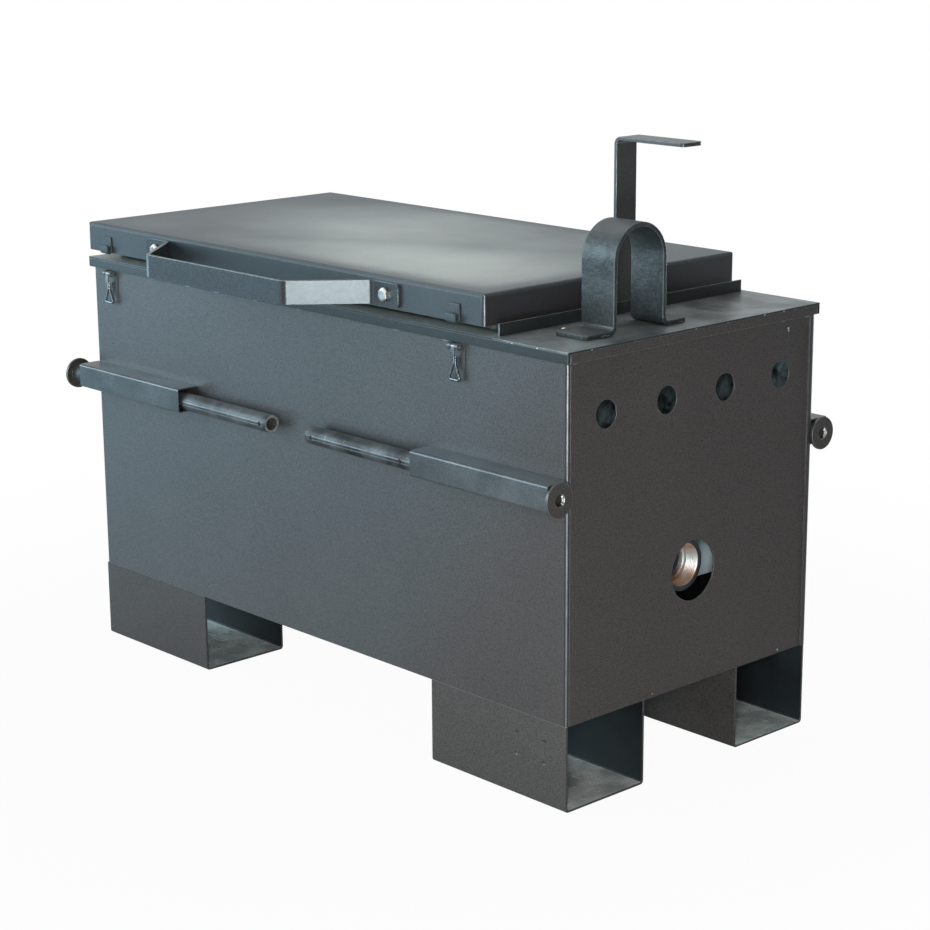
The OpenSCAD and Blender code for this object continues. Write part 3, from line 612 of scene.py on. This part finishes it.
# Painted shade on the flanks of the front panel's right fold, beside its bright crown.
faced(softened("front_panel", BODY, 0.5, 1.0), PAINTED_SHADE, beside_crown)
rear = softened("rear_panel", BODY, 0.5, 1.0)
# Painted shade on the inside of the rear panel.
faced(rear, INSIDE_SHADE, lambda face: face.normal.y < -TOWARDS and face.area > WALL_AREA)
# The lap's cut edge is bright: wear with a painted highlight.
rubbed(rear, lap, LAP_WEAR_AND_HIGHLIGHT)
# The burner end gets the darker, browner coat: painted shade.
softened("right_end_panel", END, 0.5, 1.0)
# The bulkhead is all painted shade.
softened("bulkhead", INSIDE_SHADE, 0.5)
for name in ("rim_front", "rim_rear", "rim_left"):
    softened(name, RIM, 0.6)
# The rim at the burner end also gets the coat of painted shade.
softened("rim_right", END, 0.6)
# The ledge's pale coat is painted light; its front faces take the rim coat.
ledge = softened("top_ledge", LEDGE, 0.4)
faced(ledge, RIM, lambda face: face.normal.y < -0.3)
deck = softened("end_deck", DECK, 0.4)
# Painted shade: the deck's right-facing side gets the darker rim coat.
faced(deck, RIM, lambda face: face.normal.x > 0.7)
for end in ENDS:
    foot = softened("foot_" + end, FOOT, 0.5, 0.9, share=0.12)
    lined(foot, SHADED)
    # Foot floors: pale dust with painted light; the other feet get the paler copy, more painted
    # light.
    faced(foot, TREAD if end == "front_right" else LIT_TREAD,
          lambda face: face.normal.z > TOWARDS and face.center.z < FLOOR_Z)
    softened("channel_" + end, CHANNEL, 0.4, 0.6)
lid = softened("lid_shell", LID, 0.5, 1.0, body="lid")
# Painted shade on the flanks of the lid's right fold and on its right end.
faced(lid, PAINTED_SHADE, lambda face: beside_crown(face, near=0.0) or face.normal.x > TOWARDS)
faced(lid, LIP, lambda face: face.normal.y < -0.1 and 0.1 < face.normal.z < 0.99)

# %% [markdown]
# ## Bars, rods and their washers
# The handle, the horseshoe strap and the hook are cut from hot-rolled flat bar, whose corners are
# rounder than those of sheet. Each carry rod is a tube with a washer on its outer end; its inner
# end is rubbed pale, and it is dark inside.

# %% Bars and rods
TIP_DEPTH = 1 * MM


def handle_bend(face):
    """Whether a face is a strip of the handle's left bends, on the side that looks forwards."""
    x, y, z = face.normal
    forwards = -0.7 < x < -0.05 and y < -0.6 and abs(z) < 0.1
    return forwards and narrow(handle.data, face, FOLD_STRIP)


handle = softened("lid_handle", GRIP, 0.7, body="lid")
rubbed(handle, handle_bend, 1.0)
softened("hose_arch", BAR, 0.9)
softened("hose_hook", HOOK, 0.7)
for side in ("left", "right"):
    softened("keeper_" + side, LID, 0.8, body="lid", share=0.0)
for end in ENDS:
    rod = softened("rod_" + end, ROD, 0.5, body="carry_rod_" + end)
    lined(rod, TUBE_INSIDE)
    low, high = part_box("rod_" + end)
    tip_x = high[0] if "left" in end else low[0]
    faced(rod, TUBE_END,
          lambda face: abs(face.normal.x) > 0.6 and abs(face.center.x - tip_x) < TIP_DEPTH)
    disc = softened("disc_" + end, DISC, 0.5, body="carry_rod_" + end)
    lined(disc, BORE)

# %% [markdown]
# ## Weld beads on the rods
# The weld behind each washer is a small bead round the tube. It starts as a torus, is sunk a little
# into the washer, and its points are pushed about so that it does not look moulded.

# %% Weld beads
BEAD_R, BEAD_PROUD = 1.6 * MM, 0.5 * MM
BEAD_ROUGH, BEAD_GRAIN = 0.35 * MM, 300.0
TURN_TO_X = (0, math.pi / 2, 0)


def finished(piece, material, body, slot, *nodes):
    """Put a modelled piece's place into its mesh, shade it, and hang it on its body."""
    only(piece)
    bpy.ops.object.transform_apply(location=True, rotation=True, scale=True)
    mark(piece, 0.0)
    weighted(piece)
    if not piece.data.materials:
        piece.data.materials.append(material)
    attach(piece, body)
    if nodes:
        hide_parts(*nodes)
    return piece


def roughened(piece, size, scale):
    """Push the points of a bead about a little, always the same way."""
    for point in piece.data.vertices:
        point.co += size * field.noise_vector(scale * (piece.matrix_world @ point.co))


def primitive(name, add, **sizes):
    """Add one primitive with nothing else selected."""
    bpy.ops.object.select_all(action="DESELECT")
    add(**sizes)
    piece = bpy.context.object
    piece.name = name
    return piece


for end in ENDS:
    low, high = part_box("disc_" + end)
    tube_low, tube_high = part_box("rod_" + end)
    inner_x, outward = (high[0], -1) if "left" in end else (low[0], 1)
    bead_x = inner_x + outward * (BEAD_R - BEAD_PROUD)
    bead = primitive("rod_bead_" + end, bpy.ops.mesh.primitive_torus_add, major_segments=64,
                     minor_segments=10, major_radius=(tube_high[1] - tube_low[1]) / 2,
                     minor_radius=BEAD_R, rotation=TURN_TO_X,
                     location=(bead_x, (low[1] + high[1]) / 2, (low[2] + high[2]) / 2))
    roughened(bead, BEAD_ROUGH, BEAD_GRAIN)
    finished(bead, DISC, "carry_rod_" + end, "rod_coat")
print("rod beads", BEAD_R)

# %% [markdown]
# ## Tack welds
# The rim is tacked to the panels every hand's breadth, and the tacks show as small smears under the
# lip. Bright specks on the seams are where a disc has ground through the coat, and a few drops of
# weld shine in each washer's hole. One drop is modelled from a sphere and copied; the copies in a
# row are joined into one piece. Places are in the drawing's millimetres.

# %% Tacks
CENTRE = Vector((9, 24.125, 0))
TACK = metal("tack", (0.16, 0.17, 0.18), (0.34, 0.35, 0.36), 0.5, cloud=120.0)
SPARK = metal("spark", (0.72, 0.72, 0.70), (0.86, 0.86, 0.85), 0.35)
DROP_ROUGH, DROP_GRAIN = 0.18, 900.0
WELD_IN, WELD_REACH, WELD_TURNS = 1.7, 5.6, (-0.7, -0.1, 0.5)
LIP_Z, SEAM_Z, SILL_Z, DECK_Z = 462.2, 473.4, 96.3, 476.2


def placed_at(x, y, z):
    """A point of the drawing, in millimetres from the middle of the box, in the frame's metres."""
    return (Vector((x, y, z)) + CENTRE) * MM


def row_of(name, spots, size, material, slot, body="frame"):
    """Copies of one flattened, roughened drop at several spots, in five sizes, as one piece."""
    drops = []
    for number, spot in enumerate(spots):
        drop = primitive(f"{name}_{number}", bpy.ops.mesh.primitive_ico_sphere_add,
                         subdivisions=2, radius=1.0, location=placed_at(*spot))
        drop.scale = Vector(size) * MM * (0.8 + 0.12 * (number * 7 % 5))
        bpy.ops.object.transform_apply(location=True, rotation=True, scale=True)
        roughened(drop, DROP_ROUGH * size[2] * MM, DROP_GRAIN)
        drops.append(drop)
    return finished(joined(drops, name), material, body, slot)


for end in ENDS:
    low, high = (Vector(corner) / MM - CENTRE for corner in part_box("disc_" + end))
    x = low.x + WELD_IN if "left" in end else high.x - WELD_IN
    y, z = (low.y + high.y) / 2, (low.z + high.z) / 2
    spots = [(x, y + WELD_REACH * math.cos(turn), z + WELD_REACH * math.sin(turn))
             for turn in WELD_TURNS]
    row_of("rod_weld_" + end, spots, (1.2, 1.7, 1.9), SPARK, "zinc", "carry_rod_" + end)

row_of("front_tacks",
       [(x, -187.6, LIP_Z) for x in (-281, -210, -156, -85, -7, 75, 152, 228, 324)],
       (4.6, 1.0, 1.3), TACK, "body_coat")
row_of("end_tacks", [(400.6, y, LIP_Z) for y in (-177, 133, 174)],
       (1.0, 4.0, 1.3), TACK, "body_coat")
row_of("seam_sparks_front", [(x, -190.6, SEAM_Z) for x in (321, 327, 362)],
       (1.1, 0.7, 0.7), SPARK, "zinc")
row_of("seam_sparks_end",
       [(403.6, y, SEAM_Z) for y in (-97, -7, 100, 167, -158, -61, 42, 131, 150)],
       (0.6, 1.0, 0.6), SPARK, "zinc")
row_of("sill_sparks",
       [(400.4, -60.4, SILL_Z), (400.4, 141, SILL_Z), (400.2, 144, 453), (400.2, 144.6, 450.4)],
       (0.5, 1.1, 1.0), SPARK, "zinc")
row_of("arch_tacks", [(x, y, DECK_Z) for x, y in ((331.6, -128), (331.6, 1), (377.4, -112),
                                                  (377.4, -2))],
       (1.6, 4.5, 1.5), BAR, "bar_coat")
row_of("arch_bright_tack", [(331.8, -124, 479.2), (330.4, -115.4, 477.0)],
       (2.8, 4.2, 1.9), SPARK, "zinc")
row_of("hook_tacks", [(298.6, y, 476.6) for y in (-14, -4.5, 5, 14.5)],
       (1.4, 3.6, 1.8), BAR, "bar_coat")
print("tacks done")

# %% [markdown]
# ## Handle bolts
# The handle is held by two plated hexagon bolts. A hexagon is a cylinder with six sides; its outer
# face is pushed in, inset and pulled out again, which leaves the sloping rim that a real head has,
# and the six uprights get a fine bevel.

# %% Bolts
LID_MIDDLE_X = -57.75
BOLT_REACH, BOLT_Y, BOLT_Z = 201, -195, 499
HEAD_R, HEAD_H, HEAD_SLOPE = 7.5 * MM, 5.5 * MM, 0.9 * MM
SHANK_R, SHANK_L = 4 * MM, 14
TURN_TO_Y = (math.pi / 2, 0, 0)


def pick(piece, test, kind="FACE"):
    """Select the faces or edges of a piece in edit mode that pass a test."""
    bpy.ops.mesh.select_mode(type=kind)
    bpy.ops.mesh.select_all(action="DESELECT")
    shape = bmesh.from_edit_mesh(piece.data)
    for part in shape.faces if kind == "FACE" else shape.edges:
        part.select_set(bool(test(part)))
    bmesh.update_edit_mesh(piece.data)


def length_along(edge, axis):
    """How far an edge runs along one axis."""
    return abs((edge.verts[0].co - edge.verts[1].co)[axis])


def hex_bolt(name, x):
    """One bolt: a chamfered hexagon head and its shank."""
    head = primitive(name, bpy.ops.mesh.primitive_cylinder_add, vertices=6, radius=HEAD_R,
                     depth=HEAD_H, rotation=TURN_TO_Y,
                     location=placed_at(x, BOLT_Y, BOLT_Z) - Vector((0, HEAD_H / 2, 0)))
    bpy.ops.object.transform_apply(location=True, rotation=True, scale=True)
    bpy.ops.object.mode_set(mode="EDIT")
    pick(head, lambda face: face.normal.y < -TOWARDS)
    bpy.ops.transform.translate(value=(0, HEAD_SLOPE, 0))
    bpy.ops.mesh.inset(thickness=1.3 * MM)
    bpy.ops.transform.translate(value=(0, -HEAD_SLOPE, 0))
    bpy.ops.mesh.inset(thickness=1.2 * MM)
    bpy.ops.transform.translate(value=(0, 0.25 * MM, 0))
    pick(head, lambda edge: length_along(edge, 1) > HEAD_H / 2, "EDGE")
    bpy.ops.mesh.bevel(offset=0.35 * MM, segments=2, affect="EDGES")
    bpy.ops.object.mode_set(mode="OBJECT")
    shank = primitive(name + "_shank", bpy.ops.mesh.primitive_cylinder_add, vertices=24,
                      radius=SHANK_R, depth=SHANK_L * MM, rotation=TURN_TO_Y,
                      location=placed_at(x, BOLT_Y + SHANK_L / 2, BOLT_Z))
    bpy.ops.object.mode_set(mode="EDIT")
    pick(shank, lambda face: face.normal.y > TOWARDS)
    bpy.ops.mesh.inset(thickness=0.7 * MM)
    bpy.ops.transform.translate(value=(0, 0.6 * MM, 0))
    bpy.ops.object.mode_set(mode="OBJECT")
    return joined([head, shank], name)


bolts = joined([hex_bolt("handle_bolt_left", LID_MIDDLE_X - BOLT_REACH),
                hex_bolt("handle_bolt_right", LID_MIDDLE_X + BOLT_REACH)], "handle_bolts_finish")
finished(bolts, ZINC, "lid", "zinc", "handle_bolts")
softened("handle_nuts", ZINC, 0.6, body="lid")
print("bolts", len(bolts.data.polygons), "faces")

# %% [markdown]
# ## Latches
# A spring wire hangs from a rolled tongue on a pin between two painted knuckles. The wire is a
# curve with a round section, because that is how wire is bent: straight runs with a small radius at
# each corner. It is made a mesh at the end, so that it can ride on its latch like any other piece.

# %% Latches
WIRE_R, WIRE_BEND = 1.5 * MM, 1.0 * MM
LATCH_REACH, PIN_Y, PIN_Z = 303.5, -193, 459
BAIL = [(1.6, -9.5), (1.6, -19), (7.5, -32.5), (6, -34.4),
        (-6, -34.4), (-7.5, -32.5), (-1.6, -19), (-1.6, -9.5)]


def rounded_way(points, radius, steps=5):
    """A path with each inner corner replaced by a few points of an arc."""
    way = [points[0]]
    for before, corner, after in zip(points, points[1:], points[2:]):
        a = corner + (before - corner).normalized() * radius
        b = corner + (after - corner).normalized() * radius
        for k in range(steps + 1):
            t = k / steps
            way.append((1 - t) ** 2 * a + 2 * t * (1 - t) * corner + t * t * b)
    return way + [points[-1]]


def wire_piece(name, points, radius):
    """A round wire along a path, as a mesh."""
    line = bpy.data.curves.new(name, "CURVE")
    line.dimensions = "3D"
    line.bevel_depth = radius
    line.bevel_resolution = 4
    line.use_fill_caps = True
    spline = line.splines.new("POLY")
    spline.points.add(len(points) - 1)
    for point, place in zip(spline.points, points):
        point.co = (*place, 1)
    piece = bpy.data.objects.new(name, line)
    bpy.context.scene.collection.objects.link(piece)
    only(piece)
    bpy.ops.object.convert(target="MESH")
    bpy.ops.object.mode_set(mode="EDIT")
    bpy.ops.mesh.select_all(action="SELECT")
    bpy.ops.mesh.remove_doubles(threshold=0.001 * MM)
    bpy.ops.object.mode_set(mode="OBJECT")
    return bpy.context.object


for side, reach in (("left", -LATCH_REACH), ("right", LATCH_REACH)):
    pin_x = LID_MIDDLE_X + reach
    way = rounded_way([placed_at(pin_x + x, PIN_Y, PIN_Z + z) for x, z in BAIL], WIRE_BEND)
    wire = wire_piece(f"latch_wire_{side}", way, WIRE_R)
    finished(wire, WIRE, "latch_" + side, "bright_wire", "latch_bail_" + side)
    softened("latch_tongue_" + side, TONGUE, 0.3, body="latch_" + side)
    softened("latch_base_" + side, BODY, 0)
softened("latch_pins", TONGUE, 0.3)
softened("latch_rivets", BODY, 0.35)
print("latches done")

# %% [markdown]
# ## Hinges
# Two butt hinges carry the lid at the rear. Their leaves keep the shape of the solid with softened
# edges, and the pins get a rounded end.

# %% Hinges
softened("hinge_body_leaves", HINGE, 0.4)
softened("hinge_lid_leaves", HINGE, 0.4, body="lid")
softened("hinge_pins", ZINC, 1.2)
print("hinges done")

# %% [markdown]
# ## Socket, tube and bracket
# Behind the port sits a steel pipe socket. It starts as a cylinder; its face is inset for the rim,
# pushed back in small steps that widen and narrow in turn for the ridges of the thread, and pushed
# back again for the step where the tube ends. Only the bore is bright, so its faces get the turned
# steel and the rest the dark coat.

# %% Socket
SOCKET_X0, SOCKET_X1, SOCKET_R = 340, 386, 28.5 * MM
RIM_W, CHAMFER, BACK_W = 5.2 * MM, 0.8 * MM, 7.45 * MM
RIDGES, RIDGE_PITCH, RIDGE_DEPTH, THREAD_R = 7, 2.2 * MM, 0.7 * MM, 22.5 * MM
STEP_BACK, STEP_W = 3.6 * MM, 1.4 * MM
BRIGHT_R = 23.2 * MM


def pushed_back(depth):
    """Extrude what is selected into the bore."""
    bpy.ops.mesh.extrude_region_move(TRANSFORM_OT_translate={"value": (-depth, 0, 0)})


socket = primitive("burner_socket_finish", bpy.ops.mesh.primitive_cylinder_add, vertices=96,
                   radius=SOCKET_R, depth=(SOCKET_X1 - SOCKET_X0) * MM, rotation=TURN_TO_X,
                   location=placed_at((SOCKET_X0 + SOCKET_X1) / 2, 0, SOCKET_Z))
bpy.ops.object.transform_apply(location=True, rotation=True, scale=True)
bpy.ops.object.mode_set(mode="EDIT")
pick(socket, lambda face: face.normal.x > TOWARDS)
bpy.ops.mesh.inset(thickness=RIM_W)
bpy.ops.mesh.inset(thickness=CHAMFER)
bpy.ops.transform.translate(value=(-CHAMFER, 0, 0))
for ridge in range(RIDGES):
    for way in (1, -1):
        pushed_back(RIDGE_PITCH / 2)
        grown = 1 - way * RIDGE_DEPTH / THREAD_R
        bpy.ops.transform.resize(value=(1, grown, grown))
pushed_back(STEP_BACK)
bpy.ops.mesh.inset(thickness=STEP_W)
bpy.ops.mesh.delete(type="FACE")
pick(socket, lambda face: face.normal.x < -TOWARDS)
bpy.ops.mesh.inset(thickness=BACK_W)
bpy.ops.mesh.delete(type="FACE")
bpy.ops.mesh.select_mode(type="EDGE")
bpy.ops.mesh.select_non_manifold()
bpy.ops.mesh.bridge_edge_loops()
bpy.ops.mesh.select_all(action="SELECT")
bpy.ops.mesh.normals_make_consistent(inside=False)
bpy.ops.object.mode_set(mode="OBJECT")
socket.data.materials.append(HINGE)
axis = placed_at(SOCKET_X1, 0, SOCKET_Z)
faced(socket, SOCKET,
      lambda face: math.hypot(face.center.y - axis.y, face.center.z - axis.z) < BRIGHT_R)
finished(socket, SOCKET, "frame", "socket_steel", "burner_socket")
softened("burner_tube", HINGE, 0.4)
softened("burner_bracket", GALVANISED, 0.3)
print("socket", len(socket.data.polygons), "faces")

# %% [markdown]
# ## Lining
# The chamber is lined with fibre board, whose cut edges crumble to a soft radius. The lid has a
# thinner slab of the same board.

# %% Lining
for name in ("floor_lining", "front_lining", "rear_lining", "left_lining", "right_lining"):
    softened(name, FIBRE, 1.6)
softened("lid_lining", FIBRE, 1.2, body="lid")
print("lining done")

# %% [markdown]
# ## Rope
# The lid rests on a square braided rope. Each length of rope is a long block with rounded corners
# and many rings, and a plaited relief is pressed into its sides, always inwards so that it stays in
# its place.

# %% Rope
MOUTH_X0, MOUTH_X1, MOUTH_Y = -363, 262, 150
ROPE_W, ROPE_Z0, ROPE_Z1, ROPE_PLAY = 14, 475, 483.7, 0.3
ROPE_ROUND, RING_GAP = 2.6 * MM, 1.6 * MM
PLAIT, PLAIT_DEPTH = 5 * MM, 0.7 * MM


def rope_length(name, low, high):
    """One length of square braided rope between two corners, in the drawing's millimetres."""
    low, high = placed_at(*low, ROPE_Z0), placed_at(*high, ROPE_Z1)
    size, middle = high - low, (low + high) / 2
    long_way = 0 if size.x > size.y else 1
    rope = primitive(name, bpy.ops.mesh.primitive_cube_add, size=1, location=middle)
    rope.scale = size
    bpy.ops.object.transform_apply(location=True, rotation=True, scale=True)

    def along(edge):
        return length_along(edge, long_way) > 0.5 * size[long_way]

    bpy.ops.object.mode_set(mode="EDIT")
    pick(rope, along, "EDGE")
    bpy.ops.mesh.bevel(offset=ROPE_ROUND, segments=3, affect="EDGES")
    pick(rope, along, "EDGE")
    bpy.ops.mesh.subdivide(number_cuts=int(size[long_way] / RING_GAP))
    bpy.ops.object.mode_set(mode="OBJECT")
    for point in rope.data.vertices:
        across = point.co - middle
        run = across[long_way] / PLAIT * math.pi
        across[long_way] = 0
        turn = math.atan2(across.z, across[1 - long_way])
        plait = abs(math.sin(run + 2 * turn)) * abs(math.sin(run - 2 * turn))
        point.co -= across.normalized() * (1 - plait) * PLAIT_DEPTH
    return rope


x0, x1, y1 = MOUTH_X0 - ROPE_W, MOUTH_X1 + ROPE_W, MOUTH_Y + ROPE_W
short_y = MOUTH_Y - ROPE_PLAY
rope = joined([rope_length("rope_front", (x0, -y1), (x1, -MOUTH_Y)),
               rope_length("rope_rear", (x0, MOUTH_Y), (x1, y1)),
               rope_length("rope_left", (x0, -short_y), (MOUTH_X0, short_y)),
               rope_length("rope_right", (MOUTH_X1, -short_y), (x1, short_y))], "lid_rope")
finished(rope, ROPE, "frame", "rope", "lid_seal")
print("rope", len(rope.data.polygons), "faces")

# %% [markdown]
# ## The floor
# The forge stood on a white sweep. The floor is white to the camera and a cool white to reflections
# on the left, and close to the forge it still takes a faint shadow.

# %% Floor
SHADOW_FROM, SHADOW_TO, SHADOW_WHITE = 0.45, 1.3, 0.96
MIRROR_TINT = (0.52, 0.82, 1.0)

bpy.ops.object.select_all(action="DESELECT")
bpy.ops.mesh.primitive_plane_add(size=40, location=(0, 0, 0))
floor = bpy.context.object
floor.name = "floor"
material, tree, shader, at = new_material("floor")
shader.inputs["Base Color"].default_value = (0.5, 0.48, 0.46, 1)
shader.inputs["Roughness"].default_value = 0.9
shader.inputs["Specular IOR Level"].default_value = 0.1
rays = node(tree, "LightPath").outputs
mirrored = sums(tree, "MAXIMUM", rays["Is Glossy Ray"], rays["Is Transmission Ray"])
away = node(tree, "VectorMath", {"operation": "LENGTH"}, Vector=at).outputs["Value"]
whiteness = sums(tree, "MULTIPLY", rays["Is Camera Ray"],
                 stepped(tree, away, SHADOW_FROM, SHADOW_TO, SHADOW_WHITE, 1.0))
sheen = sums(tree, "MULTIPLY", mirrored,
             stepped(tree, place_of(tree, at)["X"], -1.6, 0.0, 1.0, 0.06))
glow = node(tree, "Emission", Color=blended(tree, mirrored, (1, 1, 1), MIRROR_TINT), Strength=1.0)
half = node(tree, "MixShader")
for index, value in enumerate((sums(tree, "MAXIMUM", whiteness, sheen), shader.outputs[0],
                               glow.outputs[0])):
    feed(tree, half.inputs[index], value)
feed(tree, tree.nodes["Material Output"].inputs["Surface"], half.outputs[0])
floor.data.materials.append(material)
print("floor", floor.name)

# %% [markdown]
# ## The studio
# Broad soft lamps light the forge: one overhead, a cool one to the left of the front face, small
# ones by the camera that pick out the burner end, and one behind. The backdrop is white to the
# camera; in reflections it is pale on the left and dark on the right.

# %% Backdrop and lamps
SWEEP_LEFT, SWEEP_RIGHT, CEILING = (0.70, 0.74, 0.76), (0.05, 0.05, 0.05), (0.22, 0.22, 0.22)
ROOM_LEFT, ROOM_RIGHT = (0.22, 0.26, 0.29), (0.05, 0.045, 0.04)
LAMPS = (
    ("overhead", (-0.4, 0.3, 2.6), (0, 0, 0.3), 2.2, 27, (1, 1, 1)),
    ("front_left", (-2.4, -2.2, 1.3), (-0.2, 0, 0.3), 1.8, 72, (0.62, 0.85, 1.0)),
    ("front_key", (-0.6, -2.6, 0.7), (0, 0, 0.3), 0.7, 7, (1.0, 0.96, 0.93)),
    ("low_front", (1.60, -1.50, 0.22), (0, 0, 0.35), 0.4, 12, (0.86, 0.96, 1.0)),
    ("beside_camera", (1.95, -1.75, 0.98), (0, 0, 0.3), 0.3, 20, (1.0, 0.95, 0.91)),
    ("behind", (0.3, 2.4, 0.45), (0, 0, 0.3), 1.0, 24, (0.86, 0.95, 1.0)),
)

world = bpy.data.worlds.new("studio")
world.use_nodes = True
bpy.context.scene.world = world
tree = world.node_tree
rays = node(tree, "LightPath").outputs
way = place_of(tree, node(tree, "TexCoord").outputs["Generated"])
to_right = stepped(tree, way["X"], -0.3, 0.7)
upward = stepped(tree, way["Z"], 0.30, 0.75)
sweep = blended(tree, to_right, SWEEP_LEFT, SWEEP_RIGHT)
reflected = blended(tree, upward, sweep, CEILING)
room = blended(tree, to_right, ROOM_LEFT, ROOM_RIGHT)
mirrored = sums(tree, "MAXIMUM", rays["Is Glossy Ray"], rays["Is Transmission Ray"])
unseen = blended(tree, mirrored, room, reflected)
feed(tree, tree.nodes["Background"].inputs["Color"],
     blended(tree, rays["Is Camera Ray"], unseen, (1, 1, 1)))


def lamp(name, at, aim, size, watts, colour):
    """A square soft box that looks at a point."""
    bpy.ops.object.select_all(action="DESELECT")
    bpy.ops.object.light_add(type="AREA", location=at)
    made = bpy.context.object
    made.name = name
    made.rotation_euler = (Vector(aim) - Vector(at)).to_track_quat("-Z", "Y").to_euler()
    made.data.size = size
    made.data.energy = watts
    made.data.color = colour
    made.visible_camera = False


for row in LAMPS:
    lamp(*row)
bpy.context.scene.view_settings.view_transform = "Standard"
